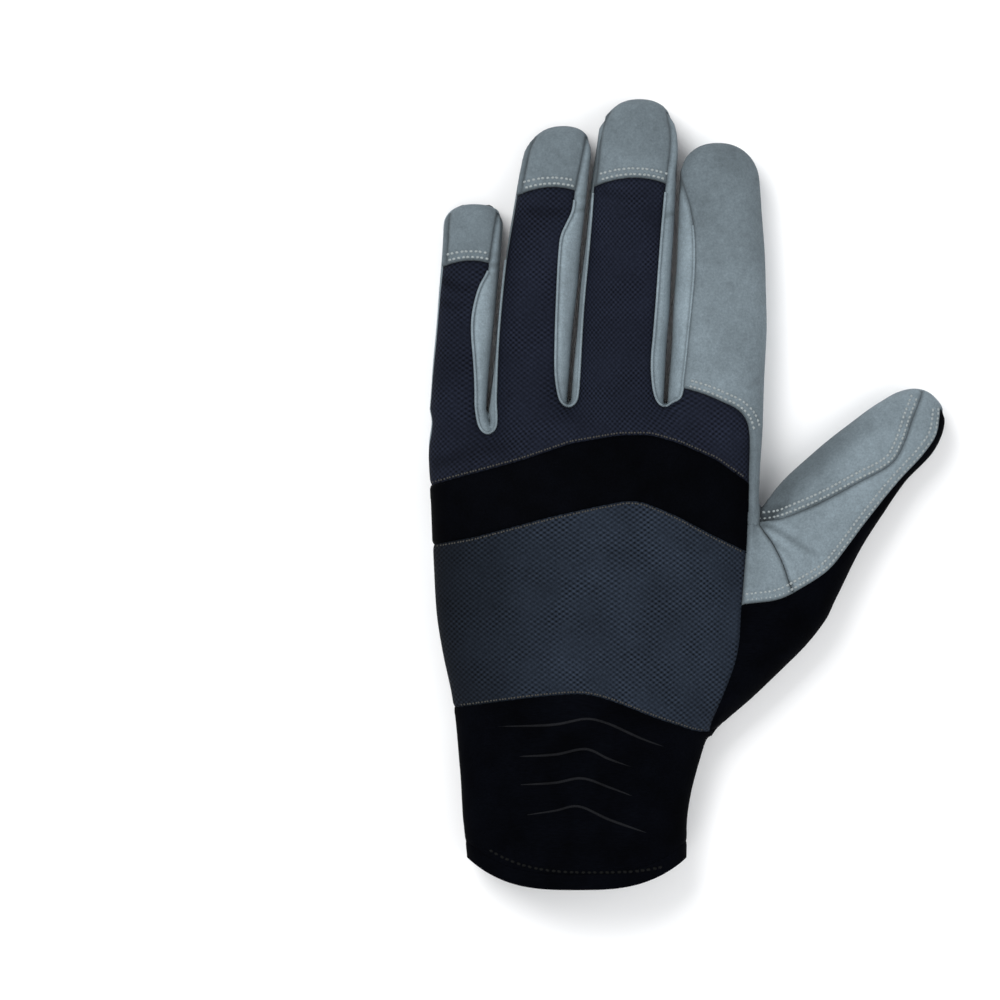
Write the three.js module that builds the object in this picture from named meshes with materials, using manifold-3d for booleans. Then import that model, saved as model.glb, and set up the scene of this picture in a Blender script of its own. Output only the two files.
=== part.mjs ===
// A left-hand mechanic glove, lying palm down with its back up. Millimetres, +Z up,
// fingers towards +Y, thumb towards +X. The glove is a hollow hand form of thin walls, cut
// along its sewing lines into the panels that a glove maker sews together, with the
// reinforcement patches, the wrist strap and its printed stripes laid on the outside.
import * as THREE from "three";
import { mergeVertices } from "three/addons/utils/BufferGeometryUtils.js";
import Module from "manifold-3d";

const wasm = await Module();
wasm.setup();

// Driving sizes of the whole glove
const PALM_WIDTH = 104; // flat width across the knuckles
const PALM_LENGTH = 95; // wrist line to the line where the fingers part
const PALM_HEIGHT = 33; // thickness of the stuffed palm
const CUFF_LENGTH = 57; // hem to wrist line
const WALL = 1.6; // leather and cloth
const GAP = 0.3; // clearance between neighbouring pieces
const WAIST = 0.42; // height of the widest level, as a share of a section's height

// Patches, strap and print, outside the wall
const PATCH = 1.0; // thickness of a reinforcement patch
const STRAP = 1.4; // thickness of the wrist strap
const PRINT = 0.4; // thickness of the raised stripes on the strap
const BINDING_WIDTH = 5; // width of the tape bound round the hem

// Shape of a section: powers of the rounded top and bottom, and how far the bottom is flattened
const TOP_POWER = 2.3;
const BOTTOM_POWER = 3.0;
const FLATTEN = 1.12;
const HEM_RISE = 10; // how far the hem climbs towards its sides
const PINKY_DROP = 8.5; // how much lower the little finger parts from the palm
const PALM_SIDES = 28; // corners of a palm section
const FINGER_SIDES = 18;
const INNER_PALM_SIDES = 18; // corners of the sections inside
const INNER_SIDES = 10;

const LEATHER_FLOOR = PATCH + GAP; // underside of the palm leather
const CUFF_FLOOR = STRAP + PRINT + 2 * GAP; // underside of the cuff

// Palm sections. at: 0 at the hem, 1 at the wrist line, 2 at the finger line. left, right:
// shares of PALM_WIDTH. top: share of PALM_HEIGHT.
const PALM = [
  { at: 0.0, left: 0.395, right: 0.275, top: 0.78 },
  { at: 0.28, left: 0.405, right: 0.28, top: 0.8 },
  { at: 0.66, left: 0.414, right: 0.308, top: 0.8 },
  { at: 0.85, left: 0.423, right: 0.34, top: 0.82 },
  { at: 1.05, left: 0.44, right: 0.4, top: 0.87 },
  { at: 1.2, left: 0.47, right: 0.45, top: 0.94 },
  { at: 1.38, left: 0.49, right: 0.478, top: 1.0 },
  { at: 1.6, left: 0.498, right: 0.487, top: 0.99 },
  { at: 1.8, left: 0.503, right: 0.49, top: 0.88 },
  { at: 1.94, left: 0.503, right: 0.49, top: 0.72 },
  { at: 2.0, left: 0.495, right: 0.48, top: 0.58 },
];

// Fingers. root, tip: axis across the palm, shares of PALM_WIDTH. bow: sideways bend, taper:
// how much narrower the tip is, round: length of the rounded tip, shares of the width.
const FINGERS = {
  pinky: { root: -0.421, tip: -0.366, length: 65, width: 18.2, height: 17.5, taper: -0.07, bow: 0, round: 0.4 },
  ring: { root: -0.2075, tip: -0.1, length: 89.6, width: 24.6, height: 19.5, taper: 0.12, bow: -0.05, round: 0.45 },
  middle: { root: 0.0615, tip: 0.134, length: 98, width: 29.3, height: 20.5, taper: 0.13, bow: 0, round: 0.52 },
  index: { root: 0.361, tip: 0.371, length: 84.3, width: 30, height: 20, taper: 0.22, bow: 0.04, round: 0.4 },
};
const FINGER_ROOT = -0.36; // where a finger starts inside the palm, a share of its length
const ROOT_TURN = 0.3; // how far its axis turns inwards there
const TIP_POWER = 2.3;
const THINNING = 0.2; // how much thinner a finger is at its tip
const FINGER_ROWS = [FINGER_ROOT, 0.0, 0.4, 0.75];
const TIP_ROWS = [1.0, 0.6, 0.3, 0.1, 0.01]; // shares of the rounded tip left
const INNER_TIP_ROWS = [1.0, 0.35, 0.05];

// Thumb, in its own frame: along runs from the root to the tip, across is positive
// towards the palm
const THUMB = {
  root: { x: 0.182, at: 1.106 }, // shares of PALM_WIDTH and a palm station
  angle: 45, // degrees from the +X axis
  length: 125.4,
  width: 27,
  height: 22,
};
const THUMB_ROWS = [
  { along: 0.0, inner: 0.25, outer: 0.93, top: 0.98 },
  { along: 0.24, inner: 0.35, outer: 0.99, top: 1.04 },
  { along: 0.406, inner: 0.46, outer: 0.94, top: 1.04 },
  { along: 0.458, inner: 0.5, outer: 0.851, top: 1.0 },
  { along: 0.566, inner: 0.565, outer: 0.684, top: 0.95 },
  { along: 0.68, inner: 0.55, outer: 0.552, top: 0.9 },
  { along: 0.8, inner: 0.49, outer: 0.46, top: 0.82 },
];
const THUMB_ROUND = 0.8; // length of the rounded tip, a share of the width

// Sewing lines on the palm and back. u: across, -1 and 1 at the sides. at: palm station.
const WRIST_SEAM = [
  { u: -1.3, at: 1.0 },
  { u: -0.95, at: 1.008 },
  { u: -0.5, at: 1.04 },
  { u: -0.03, at: 1.045 },
  { u: 0.3, at: 1.005 },
  { u: 0.6, at: 0.95 },
  { u: 0.93, at: 0.875 },
  { u: 1.4, at: 0.8 },
];
const BAND_LOWER = [
  { u: -1.3, at: 1.52 },
  { u: -0.75, at: 1.573 },
  { u: -0.3, at: 1.637 },
  { u: 0.0, at: 1.674 },
  { u: 0.2, at: 1.695 },
  { u: 0.3, at: 1.69 },
  { u: 0.52, at: 1.64 },
  { u: 0.74, at: 1.577 },
  { u: 1.2, at: 1.46 },
];
const BAND_UPPER = [
  { u: -1.3, at: 1.7 },
  { u: -0.75, at: 1.783 },
  { u: -0.45, at: 1.827 },
  { u: -0.15, at: 1.884 },
  { u: 0.15, at: 1.912 },
  { u: 0.34, at: 1.912 },
  { u: 0.52, at: 1.884 },
  { u: 0.74, at: 1.832 },
  { u: 1.2, at: 1.66 },
];
// Thumb side edge of the back, from the wrist up to the seam under the forefinger
const BACK_EDGE = [
  { u: 1.04, at: 0.84 },
  { u: 0.985, at: 0.925 },
  { u: 0.966, at: 1.0 },
  { u: 0.963, at: 1.18 },
  { u: 0.93, at: 1.35 },
  { u: 0.942, at: 1.546 },
  { u: 0.956, at: 1.76 },
  { u: 0.95, at: 1.93 },
  { u: 0.9, at: 1.98 },
  { u: 0.73, at: 2.05 },
  { u: 0.5, at: 2.075 },
];
// Lower edge of the palm leather, over the cuff on the palm side
const PALM_HEM = [
  { u: -1.4, at: 0.9 },
  { u: -0.92, at: 0.845 },
  { u: -0.79, at: 0.68 },
  { u: -0.41, at: 0.62 },
  { u: 0.08, at: 0.6 },
  { u: 0.59, at: 0.605 },
  { u: 1.4, at: 0.65 },
];
// Edges of the black side gusset, above and below, in the thumb's frame. across: share of
// the thumb's width, along: share of its length.
const GUSSET_TOP = [
  { along: 0.29, across: -0.133 },
  { along: 0.358, across: -0.369 },
  { along: 0.424, across: -0.474 },
  { along: 0.4975, across: -0.545 },
  { along: 0.577, across: -0.531 },
  { along: 0.648, across: -0.5 },
  { along: 0.719, across: -0.45 },
  { along: 0.811, across: -0.42 },
  { along: 0.894, across: -0.37 },
  { along: 0.947, across: -0.28 },
  { along: 0.98, across: -0.16 },
];
const GUSSET_UNDER = [
  { along: -0.2, across: -0.62 },
  { along: 0.0, across: -0.64 },
  { along: 0.3, across: -0.62 },
  { along: 0.42, across: -0.56 },
  { along: 0.52, across: -0.46 },
  { along: 0.65, across: -0.3 },
  { along: 0.84, across: -0.24 },
  { along: 0.95, across: -0.1 },
];
// Seam along the back of the thumb, from the web to the tip
const THUMB_SEAM = [
  { along: 0.467, across: 0.445 },
  { along: 0.536, across: 0.152 },
  { along: 0.68, across: -0.105 },
  { along: 0.787, across: -0.28 },
  { along: 0.851, across: -0.27 },
  { along: 0.921, across: -0.13 },
  { along: 1.02, across: 0.13 },
];
// Seam between the web and the back of the thumb, and the one round the ball of the thumb
const WEB_SEAM = [
  { along: 0.467, across: 0.445 },
  { along: 0.45, across: 0.1 },
  { along: 0.44, across: -0.25 },
  { along: 0.43, across: -0.6 },
];
const BALL_SEAM = [
  { along: 0.467, across: 0.445 },
  { along: 0.42, across: 0.2 },
  { along: 0.38, across: -0.15 },
  { along: 0.33, across: -0.7 },
];

// Where the back panels end on each finger, and the side strips begin. along: share of the
// finger, across: -1 and 1 at its sides.
const FINGER_SEAMS = {
  pinky: { right: [[0.97, 1.0], [0.85, 0.66], [0.7, 0.58], [0.57, 0.32], [0.44, 0.25], [0.21, 0.38], [0.03, 0.55]] },
  ring: {
    left: [[0.04, -0.88], [0.4, -0.9], [0.75, -0.88], [0.9, -0.84], [0.97, -1.0]],
    right: [[0.97, 1.0], [0.88, 0.66], [0.76, 0.61], [0.65, 0.5], [0.41, 0.5], [0.22, 0.6], [0.05, 0.7]],
  },
  middle: {
    left: [[0.04, -0.87], [0.29, -0.87], [0.6, -0.84], [0.88, -0.8], [0.97, -1.0]],
    right: [[0.97, 1.0], [0.88, 0.8], [0.7, 0.82], [0.47, 0.7], [0.2, 0.66], [0.05, 0.7]],
  },
  index: { left: [[0.05, -0.7], [0.2, -0.62], [0.46, -0.57], [0.7, -0.66], [0.82, -0.86], [0.95, -1.1]] },
};
const UNDER_SEAM = 0.8; // the same on the palm side, for every finger
const CROTCHES = [
  { left: "pinky", right: "ring", drop: 1 },
  { left: "ring", right: "middle", drop: 0 },
  { left: "middle", right: "index", drop: 0 },
];
const CROTCH_SEAM = 3.2; // how far below the crotch the side strip's seam runs

// Fingertip caps on the back, and palm-side patches. Shares of the finger from its tip.
const CAPS = { pinky: 0.29, ring: 0.23, middle: 0.265 };
const CAP_ARCH = 2.5; // how far the edge of a cap is arched
const TIP_PATCHES = { pinky: 0.32, ring: 0.315, middle: 0.385 };
const FINGER_BANDS = { ring: [0.375, 0.56], middle: [0.435, 0.61] };
const PATCH_REACH = 0.84; // how far a fingertip patch reaches towards the sides

// Outline of the knuckle patch under the hand, with a bump under each finger and a leg
// along the forefinger
const KNUCKLE_PATCH = [
  { u: -0.985, at: 1.66 },
  { u: -0.99, at: 1.75 },
  { u: -0.97, at: 1.83 },
  { u: -0.84, at: 1.886 },
  { u: -0.72, at: 1.856 },
  { u: -0.6, at: 1.87 },
  { u: -0.38, at: 1.976 },
  { u: -0.22, at: 1.935 },
  { u: -0.1, at: 1.92 },
  { u: 0.12, at: 2.015 },
  { u: 0.36, at: 1.955 },
  { u: 0.5, at: 1.955 },
  { u: 0.55, at: 2.0 },
  { u: 0.55, at: 2.28 },
  { u: 0.58, at: 2.34 },
  { u: 0.7, at: 2.36 },
  { u: 0.85, at: 2.335 },
  { u: 0.905, at: 2.25 },
  { u: 0.95, at: 2.14 },
  { u: 0.97, at: 2.02 },
  { u: 0.98, at: 1.87 },
  { u: 0.94, at: 1.775 },
  { u: 0.76, at: 1.71 },
  { u: 0.22, at: 1.675 },
  { u: -0.3, at: 1.645 },
  { u: -0.92, at: 1.615 },
];
// Outline of the heel patch: a block on the outer side, hooked round a slanting notch
const HEEL_PATCH = [
  { u: 0.786, at: 1.583 },
  { u: 0.651, at: 1.612 },
  { u: 0.46, at: 1.616 },
  { u: 0.167, at: 1.593 },
  { u: -0.196, at: 1.544 },
  { u: -0.492, at: 1.515 },
  { u: -0.743, at: 1.489 },
  { u: -0.868, at: 1.45 },
  { u: -0.93, at: 1.388 },
  { u: -0.969, at: 1.268 },
  { u: -0.992, at: 1.151 },
  { u: -0.994, at: 1.066 },
  { u: -0.948, at: 0.975 },
  { u: -0.876, at: 0.888 },
  { u: -0.765, at: 0.867 },
  { u: -0.65, at: 0.899 },
  { u: -0.471, at: 1.031 },
  { u: -0.262, at: 1.135 },
  { u: 0.016, at: 1.242 },
  { u: 0.205, at: 1.3 },
  { u: 0.251, at: 1.31 },
  { u: 0.267, at: 1.287 },
  { u: 0.218, at: 1.248 },
  { u: 0.122, at: 1.164 },
  { u: 0.039, at: 1.076 },
  { u: 0.021, at: 1.024 },
  { u: 0.098, at: 0.97 },
  { u: 0.24, at: 0.943 },
  { u: 0.345, at: 0.991 },
  { u: 0.491, at: 1.053 },
  { u: 0.695, at: 1.135 },
  { u: 0.848, at: 1.209 },
  { u: 0.891, at: 1.268 },
  { u: 0.861, at: 1.427 },
  { u: 0.841, at: 1.538 },
];
// Wrist strap under the cuff and its stripes. The strap starts in the outer side seam.
const STRAP_OUTLINE = [
  { u: -1.4, at: 0.72 },
  { u: -0.93, at: 0.69 },
  { u: 0.7, at: 0.54 },
  { u: 0.73, at: 0.51 },
  { u: 0.41, at: 0.1 },
  { u: 0.35, at: 0.075 },
  { u: -0.38, at: 0.075 },
  { u: -0.81, at: 0.19 },
  { u: -0.98, at: 0.36 },
  { u: -1.4, at: 0.42 },
];
const STRIPES = {
  stripe_top: [
    { u: -0.86, at: 0.64 },
    { u: 0.68, at: 0.53 },
    { u: 0.66, at: 0.485 },
    { u: -0.855, at: 0.595 },
  ],
  stripe_inner: [
    { u: -0.801, at: 0.313 },
    { u: 0.0415, at: 0.221 },
    { u: 0.2387, at: 0.466 },
    { u: 0.409, at: 0.466 },
    { u: 0.14, at: 0.172 },
    { u: 0.077, at: 0.162 },
    { u: -0.783, at: 0.274 },
  ],
  stripe_outer: [
    { u: -0.783, at: 0.245 },
    { u: 0.09, at: 0.138 },
    { u: 0.167, at: 0.152 },
    { u: 0.4628, at: 0.455 },
    { u: 0.655, at: 0.455 },
    { u: 0.28, at: 0.112 },
    { u: 0.21, at: 0.1 },
    { u: -0.765, at: 0.2 },
  ],
};

const MATERIALS = {
  leather: { color: 0x7f8b91, roughness: 0.9, metalness: 0 },
  navy: { color: 0x23272f, roughness: 0.85, metalness: 0 },
  slate: { color: 0x2a313b, roughness: 0.85, metalness: 0 },
  black: { color: 0x08090c, roughness: 0.8, metalness: 0 },
  silver: { color: 0x97a1ab, roughness: 0.35, metalness: 0.6 },
};

const FAR = 400; // reach of a cutting prism, beyond the glove

// Height of the sewing line that splits the back from the palm side, round the fingers
const SPLIT = LEATHER_FLOOR + 0.45 * FINGERS.ring.height;
const CUFF_SPLIT = SPLIT;

const lerp = (a, b, t) => a + (b - a) * t;
const smooth = (t) => {
  const s = Math.min(1, Math.max(0, t));
  return s * s * (3 - 2 * s);
};
// The share of full width at e from the end of a rounded tip of length reach
const rounded = (e, reach, power) =>
  e >= reach ? 1 : Math.pow(1 - Math.pow(1 - Math.max(e, 0) / reach, power), 1 / power);

// A table's columns at a key between its rows
function row(table, key, value) {
  const first = table[0];
  if (value <= first[key]) return first;
  const next = table.findIndex((r) => r[key] >= value);
  if (next < 0) return table[table.length - 1];
  const a = table[next - 1];
  const b = table[next];
  const t = (value - a[key]) / (b[key] - a[key]);
  return Object.fromEntries(Object.keys(a).map((k) => [k, lerp(a[k], b[k], t)]));
}

// Length along the glove of a palm station
const stationY = (at) => (at < 1 ? CUFF_LENGTH * at : CUFF_LENGTH + PALM_LENGTH * (at - 1));
const FINGER_LINE = stationY(2);

// How far a point of a palm section is shifted along the glove: up at the sides of the hem,
// and down under the little finger
function palmShift(at, u) {
  const hem = HEM_RISE * Math.pow(Math.min(1, Math.abs(u)), 3) * (1 - smooth(at / 0.8));
  const drop = PINKY_DROP * smooth((-u - 0.32) / 0.36) * smooth((at - 1.5) / 0.5);
  return hem - drop;
}

// Plan point of a share across the palm at a station
function onPalm({ u, at }) {
  const { left, right } = row(PALM, "at", at);
  const x = PALM_WIDTH * ((right - left) / 2 + (u * (right + left)) / 2);
  return new THREE.Vector2(x, stationY(at));
}

// Centre and half width of a finger at a share of its length
function fingerAcross(f, along) {
  const bend = along > 0 ? f.bow * f.width * 4 * along * (1 - along) : 0;
  const narrow = along > 0 ? f.taper * along * along : 0;
  const axis = along > 0 ? lerp(f.root, f.tip, along) : f.root * (1 + ROOT_TURN * along);
  return {
    centre: PALM_WIDTH * axis + bend,
    half: (f.width / 2) * (1 - narrow),
  };
}

// Plan point of a share across a finger at a share of its length
function onFinger(f, along, across) {
  const { centre, half } = fingerAcross(f, along);
  const round = rounded((1 - along) * f.length, f.round * f.width, TIP_POWER);
  return new THREE.Vector2(centre + across * half * round, FINGER_LINE + along * f.length);
}

// Plan point in the thumb's frame
function onThumb({ along, across }) {
  const angle = THREE.MathUtils.degToRad(THUMB.angle);
  const l = along * THUMB.length;
  const w = across * THUMB.width;
  return new THREE.Vector2(
    THUMB.root.x * PALM_WIDTH + l * Math.cos(angle) - w * Math.sin(angle),
    stationY(THUMB.root.at) + l * Math.sin(angle) + w * Math.cos(angle),
  );
}

// One closed section. across and height give its reach, place turns (across, share, height)
// into a point.
function section({ left, right, floor, top, grow, round, sides, place }) {
  const waist = lerp(floor, top, WAIST);
  const half = ((right - left) / 2 + grow) * round;
  const up = (top - waist + grow) * round;
  const down = (waist - floor + grow) * round;
  return Array.from({ length: sides }, (_, k) => {
    const a = (2 * Math.PI * (k + 0.5)) / sides;
    const c = Math.cos(a);
    const s = Math.sin(a);
    const power = s > 0 ? TOP_POWER : BOTTOM_POWER;
    const share = Math.sign(c) * Math.pow(Math.abs(c), 2 / power);
    const rise = Math.pow(Math.abs(s), 2 / power);
    const z = s > 0 ? waist + up * rise : waist - down * Math.min(1, FLATTEN * rise);
    return place((left + right) / 2 + half * share, share, z);
  });
}

// A closed body through rings of points, with a fan over each end
function loft(rings) {
  const n = rings[0].length;
  const middle = (ring) => ring.reduce((s, p) => s.add(p), new THREE.Vector3()).divideScalar(n);
  const points = [...rings.flat(), middle(rings[0]), middle(rings[rings.length - 1])];
  const index = [];
  for (let r = 0; r + 1 < rings.length; r++)
    for (let k = 0; k < n; k++) {
      const a = r * n + k;
      const b = r * n + ((k + 1) % n);
      index.push(a, b, a + n, b, b + n, a + n);
    }
  const last = (rings.length - 1) * n;
  for (let k = 0; k < n; k++) {
    const next = (k + 1) % n;
    index.push(rings.length * n, next, k);
    index.push(rings.length * n + 1, last + k, last + next);
  }
  return new THREE.BufferGeometry().setFromPoints(points).setIndex(index);
}

// A closed geometry as a solid, turned to face outwards
function solid(geometry) {
  const bare = new THREE.BufferGeometry().setAttribute("position", geometry.getAttribute("position"));
  bare.setIndex(geometry.index);
  const merged = mergeVertices(bare, 1e-4);
  const make = (triVerts) =>
    new wasm.Manifold(
      new wasm.Mesh({ numProp: 3, vertProperties: merged.attributes.position.array, triVerts }),
    );
  const made = make(new Uint32Array(merged.index.array));
  return made.volume() > 0 ? made : make(new Uint32Array(merged.index.array).reverse());
}

// The palm and cuff, grown by an amount, from one station to another
function palmBody(grow, sides, mouth) {
  const rows = PALM.map((r) => ({ ...r, y: stationY(r.at) }));
  if (mouth) rows.unshift({ ...rows[0], y: -mouth });
  const end = rows[rows.length - 1];
  end.y += grow;
  const rings = rows.map(({ at, left, right, top, y }) =>
    section({
      left: -left * PALM_WIDTH,
      right: right * PALM_WIDTH,
      floor: lerp(CUFF_FLOOR, LEATHER_FLOOR, smooth((at - 0.66) / 0.19)),
      top: top * PALM_HEIGHT,
      grow,
      round: 1,
      sides,
      place: (x, share, z) => new THREE.Vector3(x, y + palmShift(at, share), z),
    }),
  );
  return solid(loft(rings));
}

// One finger, grown by an amount
function fingerBody(f, grow, sides) {
  const reach = f.round * f.width + grow;
  const length = f.length + grow;
  const alongs = [
    ...FINGER_ROWS.map((along) => along * f.length),
    ...(grow < 0 ? INNER_TIP_ROWS : TIP_ROWS).map((left) => length - reach * left),
  ];
  const rings = alongs.map((l) => {
    const along = Math.min(1, l / f.length);
    const { centre, half } = fingerAcross(f, along);
    return section({
      left: centre - half,
      right: centre + half,
      floor: LEATHER_FLOOR,
      top: LEATHER_FLOOR + f.height * (1 - THINNING * Math.max(0, along)),
      grow,
      round: rounded(length - l, reach, TIP_POWER),
      sides,
      place: (x, share, z) => new THREE.Vector3(x, FINGER_LINE + l, z),
    });
  });
  return solid(loft(rings));
}

// The thumb, grown by an amount, starting a little way along its axis
function thumbBody(grow, sides, start) {
  const reach = THUMB_ROUND * THUMB.width + grow;
  const length = THUMB.length + grow;
  const alongs = [
    start,
    ...THUMB_ROWS.slice(1).map((r) => r.along * THUMB.length),
    ...(grow < 0 ? INNER_TIP_ROWS : TIP_ROWS).slice(1).map((left) => length - reach * left),
  ];
  const rings = alongs.map((l) => {
    const r = row(THUMB_ROWS, "along", l / THUMB.length);
    return section({
      left: -r.outer * THUMB.width,
      right: r.inner * THUMB.width,
      floor: LEATHER_FLOOR,
      top: LEATHER_FLOOR + r.top * THUMB.height,
      grow,
      round: rounded(length - l, reach, TIP_POWER),
      sides,
      place: (w, share, z) => {
        const p = onThumb({ along: l / THUMB.length, across: w / THUMB.width });
        return new THREE.Vector3(p.x, p.y, z);
      },
    });
  });
  return solid(loft(rings));
}

// The whole hand form, grown by an amount. Without a mouth it is closed at the hem.
function handForm(grow, palmSides, fingerSides, mouth = 0, start = 0) {
  const parts = Object.values(FINGERS).map((f) => fingerBody(f, grow, fingerSides));
  parts.push(thumbBody(grow, fingerSides, start));
  return parts.reduce((sum, p) => sum.add(p), palmBody(grow, palmSides, mouth));
}

// A plan outline moved outwards by a distance
function widened(outline, by) {
  const turn = Math.sign(THREE.ShapeUtils.area(outline));
  const n = outline.length;
  return outline.map((p, k) => {
    const before = outline[(k + n - 1) % n];
    const after = outline[(k + 1) % n];
    const out = (a, b) => new THREE.Vector2(b.y - a.y, a.x - b.x).normalize();
    const one = out(before, p);
    const two = out(p, after);
    const mean = one.clone().add(two).normalize();
    const stretch = Math.min(2, 1 / Math.max(0.2, mean.dot(one)));
    return p.clone().addScaledVector(mean, turn * by * stretch);
  });
}

// The space over a plan outline, between two heights
function prism(outline, low, high) {
  const geometry = new THREE.ExtrudeGeometry(new THREE.Shape(outline), {
    depth: high - low,
    bevelEnabled: false,
  });
  geometry.translate(0, 0, low);
  geometry.deleteAttribute("normal");
  geometry.deleteAttribute("uv");
  return solid(mergeVertices(geometry, 1e-4));
}
const above = (outline, level) => prism(outline, level, FAR);
const below = (outline, level) => prism(outline, -FAR, level);

// The biggest body of a cut
function largest(body) {
  const bodies = body.decompose().sort((a, b) => b.volume() - a.volume());
  return bodies[0];
}

// The wall of the glove, hollow and open at the hem, that the panels are cut from
const outerForm = handForm(0, PALM_SIDES, FINGER_SIDES);
const innerForm = handForm(-WALL, INNER_PALM_SIDES, INNER_SIDES, 3 * WALL, WALL);
let rest = outerForm.subtract(innerForm);
const pieces = {};

// Takes one panel out of what is left of the wall. top and under are plan outlines, on the
// back and on the palm side, of the part that the panel covers.
function take(name, material, { top, under, split = SPLIT }) {
  const spaces = (by) => {
    const parts = [];
    if (top) parts.push(above(by ? widened(top, by) : top, split - (under ? 0 : by)));
    if (under) parts.push(below(by ? widened(under, by) : under, split + (top ? 0 : by)));
    return parts.reduce((sum, p) => sum.add(p));
  };
  pieces[name] = { body: largest(rest.intersect(spaces(0))), material };
  rest = rest.subtract(spaces(GAP));
}

const corner = (x, y) => new THREE.Vector2(x, y);
const far = (p, x, y) => corner(p.x + x, p.y + y);
const LOW = -FAR / 4;
const LEFT = -FAR / 3;
const RIGHT = FAR / 2;

// The tape bound round the hem
const hem = [-1.3, -1, -0.8, -0.6, -0.3, 0, 0.3, 0.6, 0.8, 1, 1.3].map((u) =>
  far(onPalm({ u, at: 0 }), 0, palmShift(0, Math.min(1, Math.abs(u))) + BINDING_WIDTH),
);
take("cuff_binding", "black", { top: [...hem, corner(RIGHT, LOW), corner(LEFT, LOW)], split: -FAR / 2 });

// Cuff: all that lies below the wrist seam on the back, and below the leather underneath
take("cuff", "black", {
  top: [...WRIST_SEAM.map(onPalm), corner(RIGHT, LOW), corner(LEFT, LOW)],
  under: [...PALM_HEM.map(onPalm), corner(RIGHT, LOW), corner(LEFT, LOW)],
  split: CUFF_SPLIT,
});

// Side strips between the fingers, each round both sides of its gap
function crotchPoint({ left, right, drop }) {
  const a = onFinger(FINGERS[left], 0, 1);
  const b = onFinger(FINGERS[right], 0, -1);
  return corner((a.x + b.x) / 2, FINGER_LINE - drop * PINKY_DROP);
}
for (const crotch of CROTCHES) {
  const [a, b] = [FINGERS[crotch.left], FINGERS[crotch.right]];
  const foot = crotchPoint(crotch);
  const low = [
    corner(foot.x - CROTCH_SEAM * 0.7, foot.y - CROTCH_SEAM * 0.5),
    corner(foot.x, foot.y - CROTCH_SEAM),
    corner(foot.x + CROTCH_SEAM * 0.7, foot.y - CROTCH_SEAM * 0.5),
  ];
  const down = FINGER_SEAMS[crotch.left].right.map(([along, across]) => onFinger(a, along, across));
  const up = FINGER_SEAMS[crotch.right].left.map(([along, across]) => onFinger(b, along, across));
  const underDown = [0.95, 0.6, 0.05].map((along) => onFinger(a, along, along > 0.9 ? 1.05 : UNDER_SEAM));
  const underUp = [0.05, 0.6, 0.95].map((along) => onFinger(b, along, along > 0.9 ? -1.05 : -UNDER_SEAM));
  take(`fourchette_${crotch.left}_${crotch.right}`, "leather", {
    top: [...down, ...low, ...up],
    under: [...underDown, ...low, ...underUp],
  });
}

// The grey roll over the forefinger, with its tail down the side of the hand
const webTop = onPalm({ u: 0.955, at: 1.63 });
take("index_back", "leather", {
  top: [
    webTop,
    ...BACK_EDGE.filter(({ at }) => at > 1.7).map(onPalm),
    onFinger(FINGERS.index, 0.1, -1.06),
    onFinger(FINGERS.index, 0.7, -1.04),
    far(onFinger(FINGERS.index, 1, 0), -FINGERS.index.width * 0.43, WALL * 3),
    far(onFinger(FINGERS.index, 1, 0), FINGERS.index.width / 2, WALL * 3),
    far(onFinger(FINGERS.index, 0.7, 1), 2 * WALL, 0),
    far(onFinger(FINGERS.index, 0.1, 1), 2 * WALL, 0),
    far(webTop, 2 * WALL, 0),
  ],
});

// Thumb and side: the black gusset, the back of the thumb, its inner panel and the web
const gussetTop = GUSSET_TOP.map(onThumb);
const gussetUnder = GUSSET_UNDER.map(onThumb);
const backFoot = BACK_EDGE.filter(({ at }) => at < 1.34).map(onPalm);
take("side_gusset", "black", {
  top: [
    corner(RIGHT, LOW),
    corner(backFoot[0].x, LOW),
    ...backFoot,
    ...gussetTop,
    far(gussetTop[gussetTop.length - 1], FAR / 8, FAR / 40),
  ],
  under: [
    corner(RIGHT, LOW),
    corner(gussetUnder[0].x, LOW),
    ...gussetUnder,
    far(gussetUnder[gussetUnder.length - 1], FAR / 8, FAR / 40),
  ],
});
take("web_panel", "leather", {
  top: [
    ...BACK_EDGE.filter(({ at }) => at > 1.34 && at < 1.6).map(onPalm),
    onPalm({ u: 0.945, at: 1.615 }),
    ...WEB_SEAM.map(onThumb),
    far(onPalm(BACK_EDGE[4]), 0, -4 * WALL),
  ],
});
const thumbSeam = THUMB_SEAM.map(onThumb);
const webSeam = WEB_SEAM.map(onThumb);
const ballSeam = BALL_SEAM.map(onThumb);
take("thumb_back", "leather", {
  top: [...webSeam.slice().reverse(), ...thumbSeam, far(thumbSeam[thumbSeam.length - 1], FAR / 8, 0)],
});
take("thumb_inner", "leather", {
  top: [
    ...thumbSeam,
    far(thumbSeam[thumbSeam.length - 1], 0, FAR / 8),
    far(thumbSeam[0], 2 * WALL, FAR / 8),
  ],
  under: [
    ...ballSeam,
    corner(RIGHT, LOW),
    corner(RIGHT, FAR / 2),
    far(ballSeam[0], 2 * WALL, FAR / 8),
  ],
});

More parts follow.
